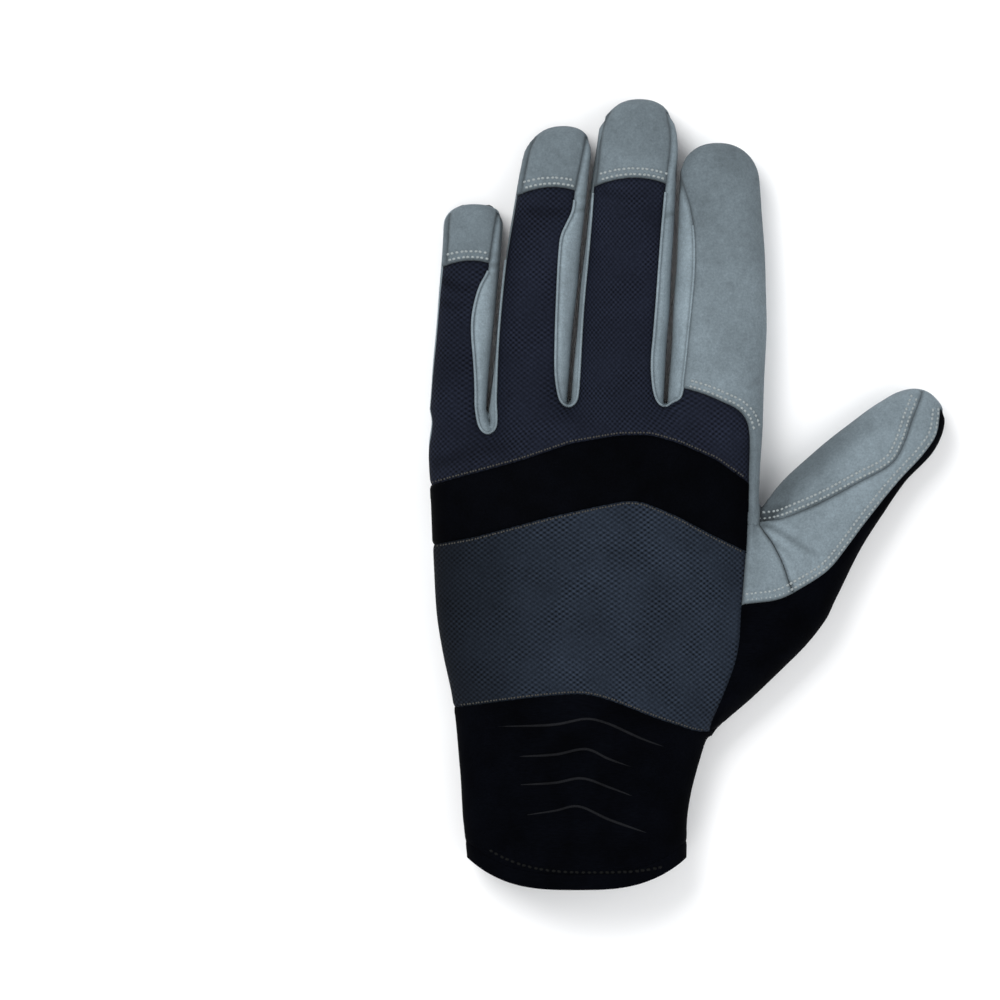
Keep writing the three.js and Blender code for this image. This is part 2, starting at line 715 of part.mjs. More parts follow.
// Back panels: caps on three fingertips, the forefinger's back with its side roll, the web,
// the knuckle band and the two cloth panels
for (const [name, share] of Object.entries(CAPS)) {
  const f = FINGERS[name];
  const from = 1 - share;
  const arch = CAP_ARCH / f.length;
  take(`tip_cap_${name}`, "leather", {
    top: [
      onFinger(f, from, -1.15),
      onFinger(f, from + arch * 0.75, -0.5),
      onFinger(f, from + arch, 0),
      onFinger(f, from + arch * 0.75, 0.5),
      onFinger(f, from, 1.04),
      far(onFinger(f, 1, 0), f.width / 2, WALL * 4),
      far(onFinger(f, 1, 0), -f.width / 2, WALL * 4),
    ],
  });
}
const bandLower = BAND_LOWER.map(onPalm);
const bandUpper = BAND_UPPER.map(onPalm);
take("knuckle_band", "black", { top: [...bandLower, ...bandUpper.slice().reverse()] });
take("back_lower", "slate", {
  top: [...bandLower, corner(RIGHT, LOW), corner(LEFT, LOW)],
});
take("back_upper", "navy", {
  top: [...bandUpper, corner(RIGHT, FAR), corner(LEFT, FAR)],
});
pieces.palm = { body: largest(rest), material: "leather" };

// A layer laid outside the wall, over a plan outline on the palm side
const guard = handForm(GAP, PALM_SIDES, FINGER_SIDES);
function layer(name, material, outline, form, low, high, level = SPLIT) {
  const skin = form(high).subtract(low > GAP ? form(low).add(guard) : guard);
  pieces[name] = { body: largest(skin.intersect(below(outline, level))), material };
}
const PATCH_LEVEL = LEATHER_FLOOR + 0.3 * FINGERS.ring.height;
const palmSkin = (grow) => palmBody(grow, PALM_SIDES, 0);
const fingerSkin = (f) => (grow) => fingerBody(f, grow, FINGER_SIDES);

// Fingertip patches and bands
for (const [name, share] of Object.entries(TIP_PATCHES)) {
  const f = FINGERS[name];
  const from = 1 - share;
  const outline = [
    onFinger(f, from, -PATCH_REACH),
    onFinger(f, from, PATCH_REACH),
    ...[0.75, 0.87, 0.94, 0.975].map((along) => onFinger(f, along, PATCH_REACH)),
    ...[0.975, 0.94, 0.87, 0.75].map((along) => onFinger(f, along, -PATCH_REACH)),
  ];
  layer(`patch_tip_${name}`, "black", outline, fingerSkin(f), GAP, GAP + PATCH, PATCH_LEVEL);
}
for (const [name, [near, away]] of Object.entries(FINGER_BANDS)) {
  const f = FINGERS[name];
  const outline = [
    onFinger(f, 1 - near, -PATCH_REACH),
    onFinger(f, 1 - away, -PATCH_REACH),
    onFinger(f, 1 - away, PATCH_REACH),
    onFinger(f, 1 - near, PATCH_REACH),
  ];
  layer(`patch_band_${name}`, "black", outline, fingerSkin(f), GAP, GAP + PATCH, PATCH_LEVEL);
}

// The two big palm patches, with their corners rounded by a curve through the outline
const curved = (outline, steps) =>
  new THREE.CatmullRomCurve3(
    outline.map(onPalm).map((p) => new THREE.Vector3(p.x, p.y, 0)),
    true,
    "centripetal",
  )
    .getPoints(steps)
    .slice(0, -1)
    .map((p) => corner(p.x, p.y));
const handSkin = (grow) => handForm(grow, PALM_SIDES, FINGER_SIDES);
layer("patch_knuckle", "black", curved(KNUCKLE_PATCH, 64), handSkin, GAP, GAP + PATCH, PATCH_LEVEL);
layer("patch_heel", "black", curved(HEEL_PATCH, 64), palmSkin, GAP, GAP + PATCH, PATCH_LEVEL);

// Wrist strap, from the outer side seam, and the stripes printed on it
layer("strap", "black", STRAP_OUTLINE.map(onPalm), palmSkin, GAP, GAP + STRAP, CUFF_SPLIT);
for (const [name, outline] of Object.entries(STRIPES)) {
  const low = 2 * GAP + STRAP;
  layer(name, "silver", outline.map(onPalm), palmSkin, low, low + PRINT, PATCH_LEVEL);
}

// The group of named meshes, with the origin under the middle of the glove
const glove = new THREE.Group();
for (const [name, { body, material }] of Object.entries(pieces)) {
  const { vertProperties, triVerts } = body.getMesh();
  const geometry = new THREE.BufferGeometry();
  geometry.setAttribute("position", new THREE.BufferAttribute(vertProperties, 3));
  geometry.setIndex(new THREE.BufferAttribute(triVerts, 1));
  const mesh = new THREE.Mesh(geometry, new THREE.MeshStandardMaterial(MATERIALS[material]));
  mesh.name = name;
  glove.add(mesh);
}
const box = new THREE.Box3().setFromObject(glove);
const middle = box.getCenter(new THREE.Vector3());
glove.position.set(-middle.x, -middle.y, -box.min.z);
const part = new THREE.Group();
part.add(glove);

export default part;
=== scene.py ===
"""Looks of a left-hand mechanic glove that lies palm down, fingers towards +Y, thumb towards +X.

The sewing pattern below is in millimetres: x runs across the palm from its middle, y from the
hem to the fingertips, z up from the floor. The skin of the stuffed glove is the level surface
of one smooth form. It is cut along its sewing lines into the panels, which sink into their
seams, and the patches, the strap and the threads are laid on it.
"""

import functools

import bpy
import math
import numpy as np
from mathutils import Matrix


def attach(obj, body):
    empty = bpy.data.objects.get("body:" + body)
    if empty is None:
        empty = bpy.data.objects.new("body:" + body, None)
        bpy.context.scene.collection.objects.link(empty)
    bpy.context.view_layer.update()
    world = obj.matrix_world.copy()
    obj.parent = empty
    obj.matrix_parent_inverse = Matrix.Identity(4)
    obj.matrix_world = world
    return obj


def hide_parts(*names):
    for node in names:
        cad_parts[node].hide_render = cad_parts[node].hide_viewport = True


bl_info = {
    "name": "Mechanic glove",
    "version": (1, 0, 0),
    "blender": (4, 5, 0),
    "location": "3D View > Sidebar > Glove",
    "description": "A sewn work glove of grey leather and dark mesh, lying palm down",
    "category": "Add Mesh",
}

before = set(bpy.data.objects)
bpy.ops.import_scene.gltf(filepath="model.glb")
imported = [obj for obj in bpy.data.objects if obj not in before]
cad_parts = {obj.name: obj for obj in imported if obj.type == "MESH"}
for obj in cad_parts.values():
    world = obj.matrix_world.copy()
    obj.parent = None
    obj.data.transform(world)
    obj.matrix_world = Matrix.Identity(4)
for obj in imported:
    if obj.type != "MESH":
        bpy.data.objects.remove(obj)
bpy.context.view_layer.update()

MM = 0.001
ORIGIN = np.array([28.7984, 124.9404, 0.0])  # the frame's origin in the pattern

# Driving sizes of the pattern, in millimetres
PALM_WIDTH = 104.0
PALM_LENGTH = 95.0
PALM_HEIGHT = 33.0
CUFF_LENGTH = 57.0
HEM_RISE = 10.0  # how far the sides of the hem lie ahead of its middle
PINKY_DROP = 8.5  # how far the root of the little finger lies behind the others
BINDING_WIDTH = 5.0
LEATHER_FLOOR = 1.3  # underside of the leather, with room for the patches below it
CUFF_FLOOR = 2.4  # underside of the cuff, with room for the strap
FLOOR_EDGE = 1.2  # round edge of the flat underside
PALM_END = 4.0  # round edge of the palm at the roots of the fingers
BLEND = 4.0  # round hollow between the palm, the fingers and the thumb
ROOT_BLEND = {"pinky": 6.0}
SLIT_WIDTH = 1.2  # width of the gap between two fingers
SLIT_START = 6.0  # stretch over which the gap opens
CROTCH_RISE = 3.8  # start of the gap, ahead of the finger line
CROTCH_SEAM = 3.2  # how far the seam of a side strip lies behind its gap
RIM = 0.9  # round edge of a raised panel
CAP_SEAM = 1.7  # how far the side seam of a fingertip lies inside its rim
SEAM_LIFT = 4.8  # how far the forefinger's outline reaches past its tip
OVERLAP = 6.4  # how far outlines reach past the panels that are cut before them
TAIL_END = 115.2  # where the tail of the forefinger's leather runs into the web panel
FILLED_FINGER = 19.5  # height of a filled finger
SPLIT = LEATHER_FLOOR + 0.45 * FILLED_FINGER  # height that parts the back from the palm side
PATCH_LEVEL = LEATHER_FLOOR + 0.3 * FILLED_FINGER  # height that no patch rises above

# Driving shares and powers of the form
WAIST = 0.42  # height of the widest line of a section
TOP_POWER = 2.3  # roundness of a section above its waist
BOTTOM_POWER = 3.0  # the same below it
TIP_POWER = 2.3  # roundness of a tip
FLATTEN = 1.12  # a section reaches this much past its floor, which cuts it flat
LEATHER_START, LEATHER_RUN = 0.66, 0.19  # stations where the underside sinks to the palm's floor
FINGER_ROOT = -0.36  # how far a finger reaches into the palm
ROOT_TURN = 0.3  # how far the roots of the fingers draw together in the palm
THINNING = 0.2  # how much lower a finger is at its tip
UNDER_SEAM = 0.8  # place of a side strip's seam under a finger, in half widths

# Corners well outside the glove, for outlines that run off it
FAR = 400.0
LOW, LEFT, RIGHT = -FAR / 4, -FAR / 3, FAR / 2
FOOT = [(RIGHT, LOW), (LEFT, LOW)]

# Palm sections: station (0 at the hem, 1 at the wrist, 2 at the roots of the fingers), left and
# right as shares of PALM_WIDTH, top as a share of PALM_HEIGHT
PALM = np.array(
    [
        (0.0, 0.395, 0.275, 0.78),
        (0.28, 0.405, 0.28, 0.8),
        (0.66, 0.414, 0.308, 0.8),
        (0.85, 0.423, 0.34, 0.82),
        (1.05, 0.44, 0.4, 0.87),
        (1.2, 0.47, 0.45, 0.94),
        (1.38, 0.49, 0.478, 1.0),
        (1.6, 0.498, 0.487, 0.99),
        (1.8, 0.503, 0.49, 0.88),
        (1.94, 0.503, 0.49, 0.72),
        (2.0, 0.495, 0.48, 0.58),
    ]
).T

# Fingers: middle of the root and of the tip as shares of PALM_WIDTH, sizes, how much the width
# tapers and the middle line bows as shares of the width, and how long the round tip is
FINGER_SIZES = ("root", "tip", "length", "width", "height", "taper", "bow", "round")
FINGERS = {
    name: dict(zip(FINGER_SIZES, row))
    for name, row in {
        "pinky": (-0.421, -0.366, 65.0, 18.2, 17.5, -0.07, 0.0, 0.4),
        "ring": (-0.2075, -0.1, 89.6, 24.6, 19.5, 0.12, -0.05, 0.45),
        "middle": (0.0615, 0.134, 98.0, 29.3, 20.5, 0.13, 0.0, 0.52),
        "index": (0.361, 0.371, 84.3, 30.0, 20.0, 0.22, 0.04, 0.4),
    }.items()
}
CROTCHES = (("pinky", "ring", PINKY_DROP), ("ring", "middle", 0.0), ("middle", "index", 0.0))

# Thumb: the root on the palm, its length and width, and its rows: along, inner, outer, top
THUMB_ROOT = dict(x=0.182 * PALM_WIDTH, y=CUFF_LENGTH + 0.106 * PALM_LENGTH)
THUMB = dict(**THUMB_ROOT, length=125.4, width=27.0, height=22.0)
THUMB_ROUND = 0.8
THUMB_ROWS = np.array(
    [
        (0.0, 0.25, 0.93, 0.98),
        (0.24, 0.35, 0.99, 1.04),
        (0.406, 0.46, 0.94, 1.04),
        (0.458, 0.5, 0.851, 1.0),
        (0.566, 0.565, 0.684, 0.95),
        (0.68, 0.55, 0.552, 0.9),
        (0.8, 0.485, 0.455, 0.82),
        (0.9, 0.43, 0.46, 0.82),
    ]
).T

# Sewing lines on the palm: u is -1 and 1 at the sides, then the station
WRIST_SEAM = [
    (-1.3, 0.99), (-0.95, 1.006), (-0.65, 1.025), (-0.365, 1.041), (-0.085, 1.05), (0.027, 1.044),
    (0.196, 1.022), (0.52, 0.952), (0.72, 0.91), (0.863, 0.88), (0.96, 0.868), (1.02, 0.872),
    (1.1, 0.9), (1.4, 1.0),
]
BAND_LOWER = [
    (-1.3, 1.52), (-0.75, 1.573), (-0.3, 1.637), (0.0, 1.674), (0.2, 1.695), (0.3, 1.69), (0.52, 1.64),
    (0.74, 1.577), (1.2, 1.46),
]
BAND_UPPER = [
    (-1.3, 1.7), (-0.75, 1.783), (-0.45, 1.827), (-0.15, 1.884), (0.15, 1.912), (0.34, 1.912),
    (0.52, 1.884), (0.74, 1.832), (1.2, 1.66),
]
BACK_EDGE = [
    (1.02, 0.84), (0.985, 0.92), (0.966, 1.0), (0.963, 1.18), (0.93, 1.35), (0.942, 1.546),
    (0.956, 1.76), (0.95, 1.93), (0.936, 1.968), (0.89, 1.999), (0.797, 2.023), (0.706, 2.044),
    (0.614, 2.06), (0.5, 2.075),
]
PALM_HEM = [
    (-1.4, 0.9), (-0.92, 0.845), (-0.79, 0.68), (-0.41, 0.62), (0.08, 0.6), (0.59, 0.605), (1.4, 0.65),
]

# Sewing lines on the thumb: share along its length, then share of its width towards the palm
GUSSET_TOP = [
    (0.29, -0.133), (0.358, -0.369), (0.424, -0.474), (0.4975, -0.545), (0.577, -0.515),
    (0.652, -0.465), (0.741, -0.418), (0.811, -0.402), (0.871, -0.39), (0.934, -0.335), (0.97, -0.225),
    (0.99, -0.15),
]
GUSSET_UNDER = [
    (-0.2, -0.62), (0.0, -0.64), (0.3, -0.62), (0.42, -0.56), (0.52, -0.46), (0.65, -0.3),
    (0.84, -0.24), (0.95, -0.1),
]
THUMB_SEAM = [
    (0.459, 0.459), (0.502, 0.295), (0.554, 0.177), (0.611, 0.075), (0.707, -0.061), (0.805, -0.187),
    (0.86, -0.116), (0.915, 0.01), (0.968, 0.117), (1.03, 0.27),
]
WEB_SEAM = [
    (0.459, 0.459), (0.452, 0.33), (0.445, 0.139), (0.432, -0.052), (0.42, -0.181), (0.408, -0.288),
    (0.38, -0.6),
]
BALL_SEAM = [(0.459, 0.459), (0.42, 0.2), (0.38, -0.15), (0.33, -0.7)]

# Sewing lines on the fingers: share along the finger, then -1 and 1 at its sides
FINGER_SEAMS = {
    "pinky": {
        "right": [
            (0.97, 1.0), (0.85, 0.7), (0.72, 0.64), (0.67, 0.62), (0.6, 0.41), (0.526, 0.29), (0.437, 0.236),
            (0.347, 0.29), (0.258, 0.4), (0.168, 0.5), (0.078, 0.58), (0.0, 0.64),
        ]
    },
    "ring": {
        "left": [(0.04, -0.86), (0.25, -0.93), (0.5, -0.99), (0.72, -1.02), (0.9, -1.04)],
        "right": [
            (0.97, 1.0), (0.88, 0.7), (0.76, 0.645), (0.7, 0.65), (0.655, 0.54), (0.61, 0.43), (0.55, 0.43),
            (0.377, 0.51), (0.246, 0.575), (0.115, 0.66), (0.04, 0.79),
        ],
    },
    "middle": {
        "left": [(0.04, -0.87), (0.29, -0.9), (0.6, -0.91), (0.8, -0.93), (0.95, -1.04)],
        "right": [
            (0.97, 1.0), (0.88, 0.82), (0.75, 0.765), (0.693, 0.754), (0.587, 0.729), (0.468, 0.715),
            (0.349, 0.711), (0.23, 0.7), (0.171, 0.691), (0.111, 0.72), (0.052, 0.8),
        ],
    },
    "index": {
        "left": [
            (0.04, -0.76), (0.13, -0.707), (0.268, -0.666), (0.406, -0.623), (0.544, -0.598), (0.682, -0.647),
            (0.778, -0.789), (0.82, -0.887), (0.889, -1.02), (0.95, -1.1),
        ]
    },
}
CAPS = {"pinky": 0.31, "ring": 0.248, "middle": 0.288}  # lengths as shares of the fingers
CAP_ARCH = 0.11  # rise of a cap's lower edge, in widths of the finger
BARE_TIP = 0.3  # share of the forefinger beyond its rolled edge
TIP_PATCHES = {"pinky": 0.32, "ring": 0.315, "middle": 0.385}
FINGER_BANDS = {"ring": (0.375, 0.56), "middle": (0.435, 0.61)}
PATCH_REACH = 0.84  # half width of a patch under a finger, in half widths of the finger
PATCH_TIP = 0.19  # root of the share of a fingertip patch's length that its rounded end leaves bare

# Outlines of the palm patches, the strap and its stripes, in the same shares as the seams
KNUCKLE_PATCH = [
    (-0.985, 1.66), (-0.99, 1.75), (-0.97, 1.83), (-0.84, 1.886), (-0.72, 1.856), (-0.6, 1.87),
    (-0.38, 1.976), (-0.22, 1.935), (-0.1, 1.92), (0.12, 2.015), (0.36, 1.955), (0.5, 1.955),
    (0.55, 2.0), (0.55, 2.28), (0.58, 2.34), (0.7, 2.36), (0.85, 2.335), (0.905, 2.25), (0.95, 2.14),
    (0.97, 2.02), (0.98, 1.87), (0.94, 1.775), (0.76, 1.71), (0.22, 1.675), (-0.3, 1.645),
    (-0.92, 1.615),
]
HEEL_PATCH = [
    (0.786, 1.583), (0.651, 1.612), (0.46, 1.616), (0.167, 1.593), (-0.196, 1.544), (-0.492, 1.515),
    (-0.743, 1.489), (-0.868, 1.45), (-0.93, 1.388), (-0.969, 1.268), (-0.992, 1.151), (-0.994, 1.066),
    (-0.948, 0.975), (-0.876, 0.888), (-0.765, 0.867), (-0.65, 0.899), (-0.471, 1.031), (-0.262, 1.135),
    (0.016, 1.242), (0.205, 1.3), (0.251, 1.31), (0.267, 1.287), (0.218, 1.248), (0.122, 1.164),
    (0.039, 1.076), (0.021, 1.024), (0.098, 0.97), (0.24, 0.943), (0.345, 0.991), (0.491, 1.053),
    (0.695, 1.135), (0.848, 1.209), (0.891, 1.268), (0.861, 1.427), (0.841, 1.538),
]
STRAP_OUTLINE = [
    (-1.4, 0.72), (-0.93, 0.69), (0.7, 0.54), (0.73, 0.51), (0.41, 0.1), (0.35, 0.075), (-0.38, 0.075),
    (-0.81, 0.19), (-0.98, 0.36), (-1.4, 0.42),
]
STRIPES = {
    "stripe_top": [(-0.86, 0.64), (0.68, 0.53), (0.66, 0.485), (-0.855, 0.595)],
    "stripe_inner": [
        (-0.801, 0.313), (0.0415, 0.221), (0.2387, 0.466), (0.409, 0.466), (0.14, 0.172),
        (0.077, 0.162), (-0.783, 0.274),
    ],
    "stripe_outer": [
        (-0.783, 0.245), (0.09, 0.138), (0.167, 0.152), (0.4628, 0.455), (0.655, 0.455), (0.28, 0.112),
        (0.21, 0.1), (-0.765, 0.2),
    ],
}

# The inner row of stitches on the heel patch, in the pattern's millimetres
HEEL_ROW = [
    (-34.5, 61.9), (-38.8, 63.8), (-40.8, 70.6), (-40.4, 78.5), (-39.6, 87.2), (-36.9, 91.5),
    (-28.2, 94.7), (-20.3, 96.7), (-12.3, 98.7), (-4.4, 100.2), (3.5, 102.2), (11.4, 104.2),
    (19.3, 105.8), (26.0, 106.6), (29.6, 105.0), (30.8, 99.8), (31.6, 92.7), (32.0, 85.6),
    (30.4, 82.0), (24.1, 77.7), (17.7, 72.9), (13.4, 70.2), (13.1, 71.4), (16.1, 76.9),
    (20.1, 84.0), (21.7, 88.8), (20.1, 93.5), (15.3, 97.1), (9.8, 97.9), (3.5, 95.9),
    (-2.8, 91.5), (-9.2, 86.8), (-17.1, 78.5), (-24.2, 70.6), (-29.7, 64.6), (-32.5, 62.3),
]
PATCH_ROWS = (1.0, 2.4)  # rows of stitches inside the edge of a patch

# Raised chevron lines on the back of the cuff, in the pattern's millimetres
CUFF_RIDGES = [
    [(-31.4, 51.6), (-13.0, 52.3), (-3.1, 54.1), (2.5, 53.0), (14.5, 47.7), (24.4, 44.2)],
    [(-26.5, 42.1), (-13.0, 42.8), (-3.1, 44.5), (3.9, 41.4), (15.2, 37.5)],
    [(-24.3, 33.2), (-13.0, 33.9), (-4.6, 35.3), (3.9, 32.5), (13.1, 29.0)],
    [(-22.2, 23.7), (-13.0, 25.1), (-6.0, 26.5), (3.9, 22.3), (18.0, 17.3)],
]


def lerp(a, b, t):
    """The value that share of the way from a to b."""
    return a + (b - a) * t


def smooth(t):
    """A soft step from 0 to 1: three times the square less twice the cube."""
    s = np.clip(t, 0.0, 1.0)
    return s * s * (3 - 2 * s)


def unit(vectors):
    """Vectors divided by their lengths."""
    return vectors / np.maximum(np.linalg.norm(vectors, axis=1), 1e-9)[:, None]


def table_at(keys, values, at):
    """Values between the rows of a table: a cubic from row to row whose slope at a row is the
    mean of the chords beside it, held beyond the ends."""
    at = np.clip(at, keys[0], keys[-1])
    chord = np.diff(values) / np.diff(keys)
    slope = np.concatenate([chord[:1], (chord[1:] + chord[:-1]) / 2, chord[-1:]])
    i = np.clip(np.searchsorted(keys, at, side="right") - 1, 0, len(keys) - 2)
    span = keys[i + 1] - keys[i]
    t = (at - keys[i]) / span
    start = (2 * t**3 - 3 * t**2 + 1) * values[i] + (t**3 - 2 * t**2 + t) * span * slope[i]
    end = (3 * t**2 - 2 * t**3) * values[i + 1] + (t**3 - t**2) * span * slope[i + 1]
    return start + end


def eased(points, reach=5.0):
    """A line of straight stretches through plan points, with each corner rounded by taking the
    mean of the line over reach."""
    step = 0.5
    line = resampled(np.array(points, float), step)[0]
    half = int(reach / step / 2)
    padded = np.concatenate([np.repeat(line[:1], half, 0), line, np.repeat(line[-1:], half, 0)])
    total = np.cumsum(np.concatenate([np.zeros((1, 2)), padded]), axis=0)
    width = 2 * half + 1
    return (total[width:] - total[:-width]) / width


def station_y(at):
    """Place along the glove of a station: even along the cuff, then even along the palm."""
    return np.where(at < 1, CUFF_LENGTH * at, CUFF_LENGTH + PALM_LENGTH * (at - 1))


def station_of(y):
    """The station of a place along the glove."""
    return np.where(y < CUFF_LENGTH, y / CUFF_LENGTH, 1 + (y - CUFF_LENGTH) / PALM_LENGTH)


FINGER_LINE = float(station_y(2.0))


def palm_shift(at, u):
    """How far a palm section is bent along the glove: up at the sides of the hem, and down
    under the little finger."""
    hem = HEM_RISE * np.minimum(1, np.abs(u)) ** 3 * (1 - smooth(at / 0.8))
    return hem - PINKY_DROP * smooth((-u - 0.32) / 0.36) * smooth((at - 1.5) / 0.5)


def palm_sides(at):
    """How far the palm reaches to the left and to the right at stations."""
    return (PALM_WIDTH * table_at(PALM[0], PALM[k], at) for k in (1, 2))


def on_palm(points):
    """Plan points of shares across the palm at stations."""
    u, at = np.array(points, float).T
    left, right = palm_sides(at)
    return np.stack([(right - left) / 2 + u * (right + left) / 2, station_y(at)], axis=1)


def finger_across(finger, along):
    """Middle and half width of a finger at shares of its length."""
    ahead = np.maximum(along, 0)
    bend = finger["bow"] * finger["width"] * 4 * ahead * (1 - ahead)
    inside = finger["root"] * (1 + ROOT_TURN * along)
    axis = np.where(along > 0, lerp(finger["root"], finger["tip"], along), inside)
    half = finger["width"] / 2 * (1 - finger["taper"] * ahead**2)
    return PALM_WIDTH * axis + bend, half


def rounded(left, reach):
    """Share of the full width at a distance from the end of a rounded tip."""
    gone = np.clip(1 - left / reach, 0, 1)
    return (1 - gone**TIP_POWER) ** (1 / TIP_POWER)


def on_finger(finger, points):
    """Plan points of shares along and across a finger."""
    along, across = np.array(points, float).T
    middle, half = finger_across(finger, along)
    narrow = rounded((1 - along) * finger["length"], finger["round"] * finger["width"])
    return np.stack([middle + across * half * narrow, FINGER_LINE + along * finger["length"]], axis=1)


def on_thumb(points):
    """Plan points of shares along and across the thumb, which points half way between +X and +Y."""
    along, across = np.array(points, float).T
    ahead = along * THUMB["length"] * math.sqrt(0.5)
    aside = across * THUMB["width"] * math.sqrt(0.5)
    return np.stack([THUMB["x"] + ahead - aside, THUMB["y"] + ahead + aside], axis=1)


def curved(points, per=8, closed=False):
    """A smooth line through plan points: a cubic from point to point whose slopes are half the
    chord between the neighbours, with per steps in each span."""
    p = np.array(points, float)
    if closed:
        p = np.concatenate([p[-1:], p, p[:2]])
    else:
        p = np.concatenate([2 * p[:1] - p[1:2], p, 2 * p[-1:] - p[-2:-1]])
    size = np.sqrt(np.linalg.norm(np.diff(p, axis=0), axis=1)) + 1e-9
    a, b, c = (d[:, None, None] for d in (size[:-2], size[1:-1], size[2:]))
    p0, p1, p2, p3 = (p[k : len(p) - 3 + k, None] for k in range(4))
    m1 = (p1 - p0) / a - (p2 - p0) / (a + b) + (p2 - p1) / b
    m2 = (p2 - p1) / b - (p3 - p1) / (b + c) + (p3 - p2) / c
    t = (np.arange(per) / per)[None, :, None]
    body = (2 * t**3 - 3 * t**2 + 1) * p1 + (t**3 - 2 * t**2 + t) * m1 * b
    body = body + (3 * t**2 - 2 * t**3) * p2 + (t**3 - t**2) * m2 * b
    line = body.reshape(-1, p.shape[1])
    return line if closed else np.concatenate([line, p[-2:-1]])


# Form of the stuffed glove
def section_field(across, z, left, right, floor, top):
    """Distance from a rounded section. Its rim is where s^p + t^p = 1, s and t being the shares
    of its half width and of its height from the waist, with one power above and one below.
    Gives the radius share too, for rounding a tip."""
    waist = lerp(floor, top, WAIST)
    half = (right - left) / 2
    s = np.abs(across - (left + right) / 2) / half + 1e-6
    over = z > waist
    tall = np.where(over, top - waist, (waist - floor) * FLATTEN)
    t = np.abs(z - waist) / tall + 1e-6
    power = np.where(over, TOP_POWER, BOTTOM_POWER)
    share = (s**power + t**power) ** (1 / power)
    slope = np.hypot(s ** (power - 1) / half, t ** (power - 1) / tall) * share ** (1 - power)
    return share, slope


def tip_field(share, slope, beyond, reach):
    """Distance from a tube that ends in a rounded tip of length reach: the radius share and
    the share of the way into the tip are joined as a superellipse."""
    q = np.maximum(0, 1 + beyond / reach)
    whole = (share**TIP_POWER + q**TIP_POWER) ** (1 / TIP_POWER)
    turn = TIP_POWER - 1
    steep = np.hypot(slope * (share / whole) ** turn, (q / whole) ** turn / reach)
    return (whole - 1) / steep


def blended(a, b, reach):
    """The smaller of two distances, with a round hollow of that reach where they meet."""
    h = np.maximum(reach - np.abs(a - b), 0) / reach
    return np.minimum(a, b) - h * h * reach / 4


def floored(field, z, floor):
    """A distance cut off flat at a floor, with a small round edge."""
    return -blended(-field, z - floor, FLOOR_EDGE)


def palm_field(x, y, z):
    """Distance from the cuff and the palm: one section carried from station to station, with
    its stations bent along the glove, and ended at the roots of the fingers."""
    at = station_of(y)
    for _ in range(3):
        left, right = palm_sides(np.clip(at, 0, 2))
        u = np.clip((x - (right - left) / 2) / ((right + left) / 2), -1.2, 1.2)
        at = station_of(y - palm_shift(np.clip(at, 0, 2), u))
    at_end = (at - 2) * PALM_LENGTH
    at = np.clip(at, 0, 2)
    left, right = palm_sides(at)
    floor = lerp(CUFF_FLOOR, LEATHER_FLOOR, smooth((at - LEATHER_START) / LEATHER_RUN))
    top = PALM_HEIGHT * table_at(PALM[0], PALM[3], at)
    share, slope = section_field(x, z, -left, right, floor, top)
    tube = floored((share - 1) / slope, z, floor)
    return -blended(-tube, -at_end, PALM_END)


def finger_field(finger, x, y, z):
    """Distance from a finger: a section carried along its bowed middle line, which gets lower
    towards a rounded tip."""
    ahead = y - FINGER_LINE
    along = np.clip(ahead / finger["length"], FINGER_ROOT, 1)
    middle, half = finger_across(finger, along)
    top = LEATHER_FLOOR + finger["height"] * (1 - THINNING * np.maximum(0, along))
    share, slope = section_field(x, z, middle - half, middle + half, LEATHER_FLOOR, top)
    reach = finger["round"] * finger["width"]
    tube = tip_field(share, slope, ahead - finger["length"], reach)
    return np.maximum(floored(tube, z, LEATHER_FLOOR), FINGER_ROOT * finger["length"] - ahead)


def thumb_field(x, y, z):
    """Distance from the thumb: a section carried along the diagonal, whose sides and top follow
    the thumb's rows, and a rounded tip."""
    ahead = (x - THUMB["x"] + y - THUMB["y"]) * math.sqrt(0.5)
    aside = (y - THUMB["y"] - x + THUMB["x"]) * math.sqrt(0.5)
    along = ahead / THUMB["length"]
    inner, outer, tall = (table_at(THUMB_ROWS[0], row, along) for row in THUMB_ROWS[1:])
    top = LEATHER_FLOOR + tall * THUMB["height"]
    left, right = -outer * THUMB["width"], inner * THUMB["width"]
    share, slope = section_field(aside, z, left, right, LEATHER_FLOOR, top)
    tube = tip_field(share, slope, ahead - THUMB["length"], THUMB_ROUND * THUMB["width"])
    return np.maximum(floored(tube, z, LEATHER_FLOOR), -ahead)


def slit(a, b, drop, x, y):
    """The gap between two fingers: a thin wedge along the line midway between their sides."""
    ahead = y - FINGER_LINE
    (ma, ha), (mb, hb) = (finger_across(f, np.clip(ahead / f["length"], FINGER_ROOT, 1)) for f in (a, b))
    beyond = ahead + drop - CROTCH_RISE
    half = SLIT_WIDTH / 2 * smooth(beyond / SLIT_START)
    return np.where(beyond > 0, half - np.abs(x - (ma + ha + mb - hb) / 2), -FAR)


def form(x, y, z):
    """Distance from the skin of the stuffed glove, below 0 inside."""
    palm = palm_field(x, y, z)
    glove = None
    for name, finger in FINGERS.items():
        both = blended(palm, finger_field(finger, x, y, z), ROOT_BLEND.get(name, BLEND))
        glove = both if glove is None else np.minimum(glove, both)
    for left, right, drop in CROTCHES:
        glove = np.maximum(glove, slit(FINGERS[left], FINGERS[right], drop, x, y))
    return np.maximum(blended(glove, thumb_field(x, y, z), BLEND), LEATHER_FLOOR - z)


def gradient(field, points, step=0.05):
    """Slope of a field at points, by central differences."""
    parts = []
    for axis in range(3):
        move = np.zeros(3)
        move[axis] = step
        ahead, back = points + move, points - move
        parts.append((field(*ahead.T) - field(*back.T)) / (2 * step))
    return np.stack(parts, axis=1)


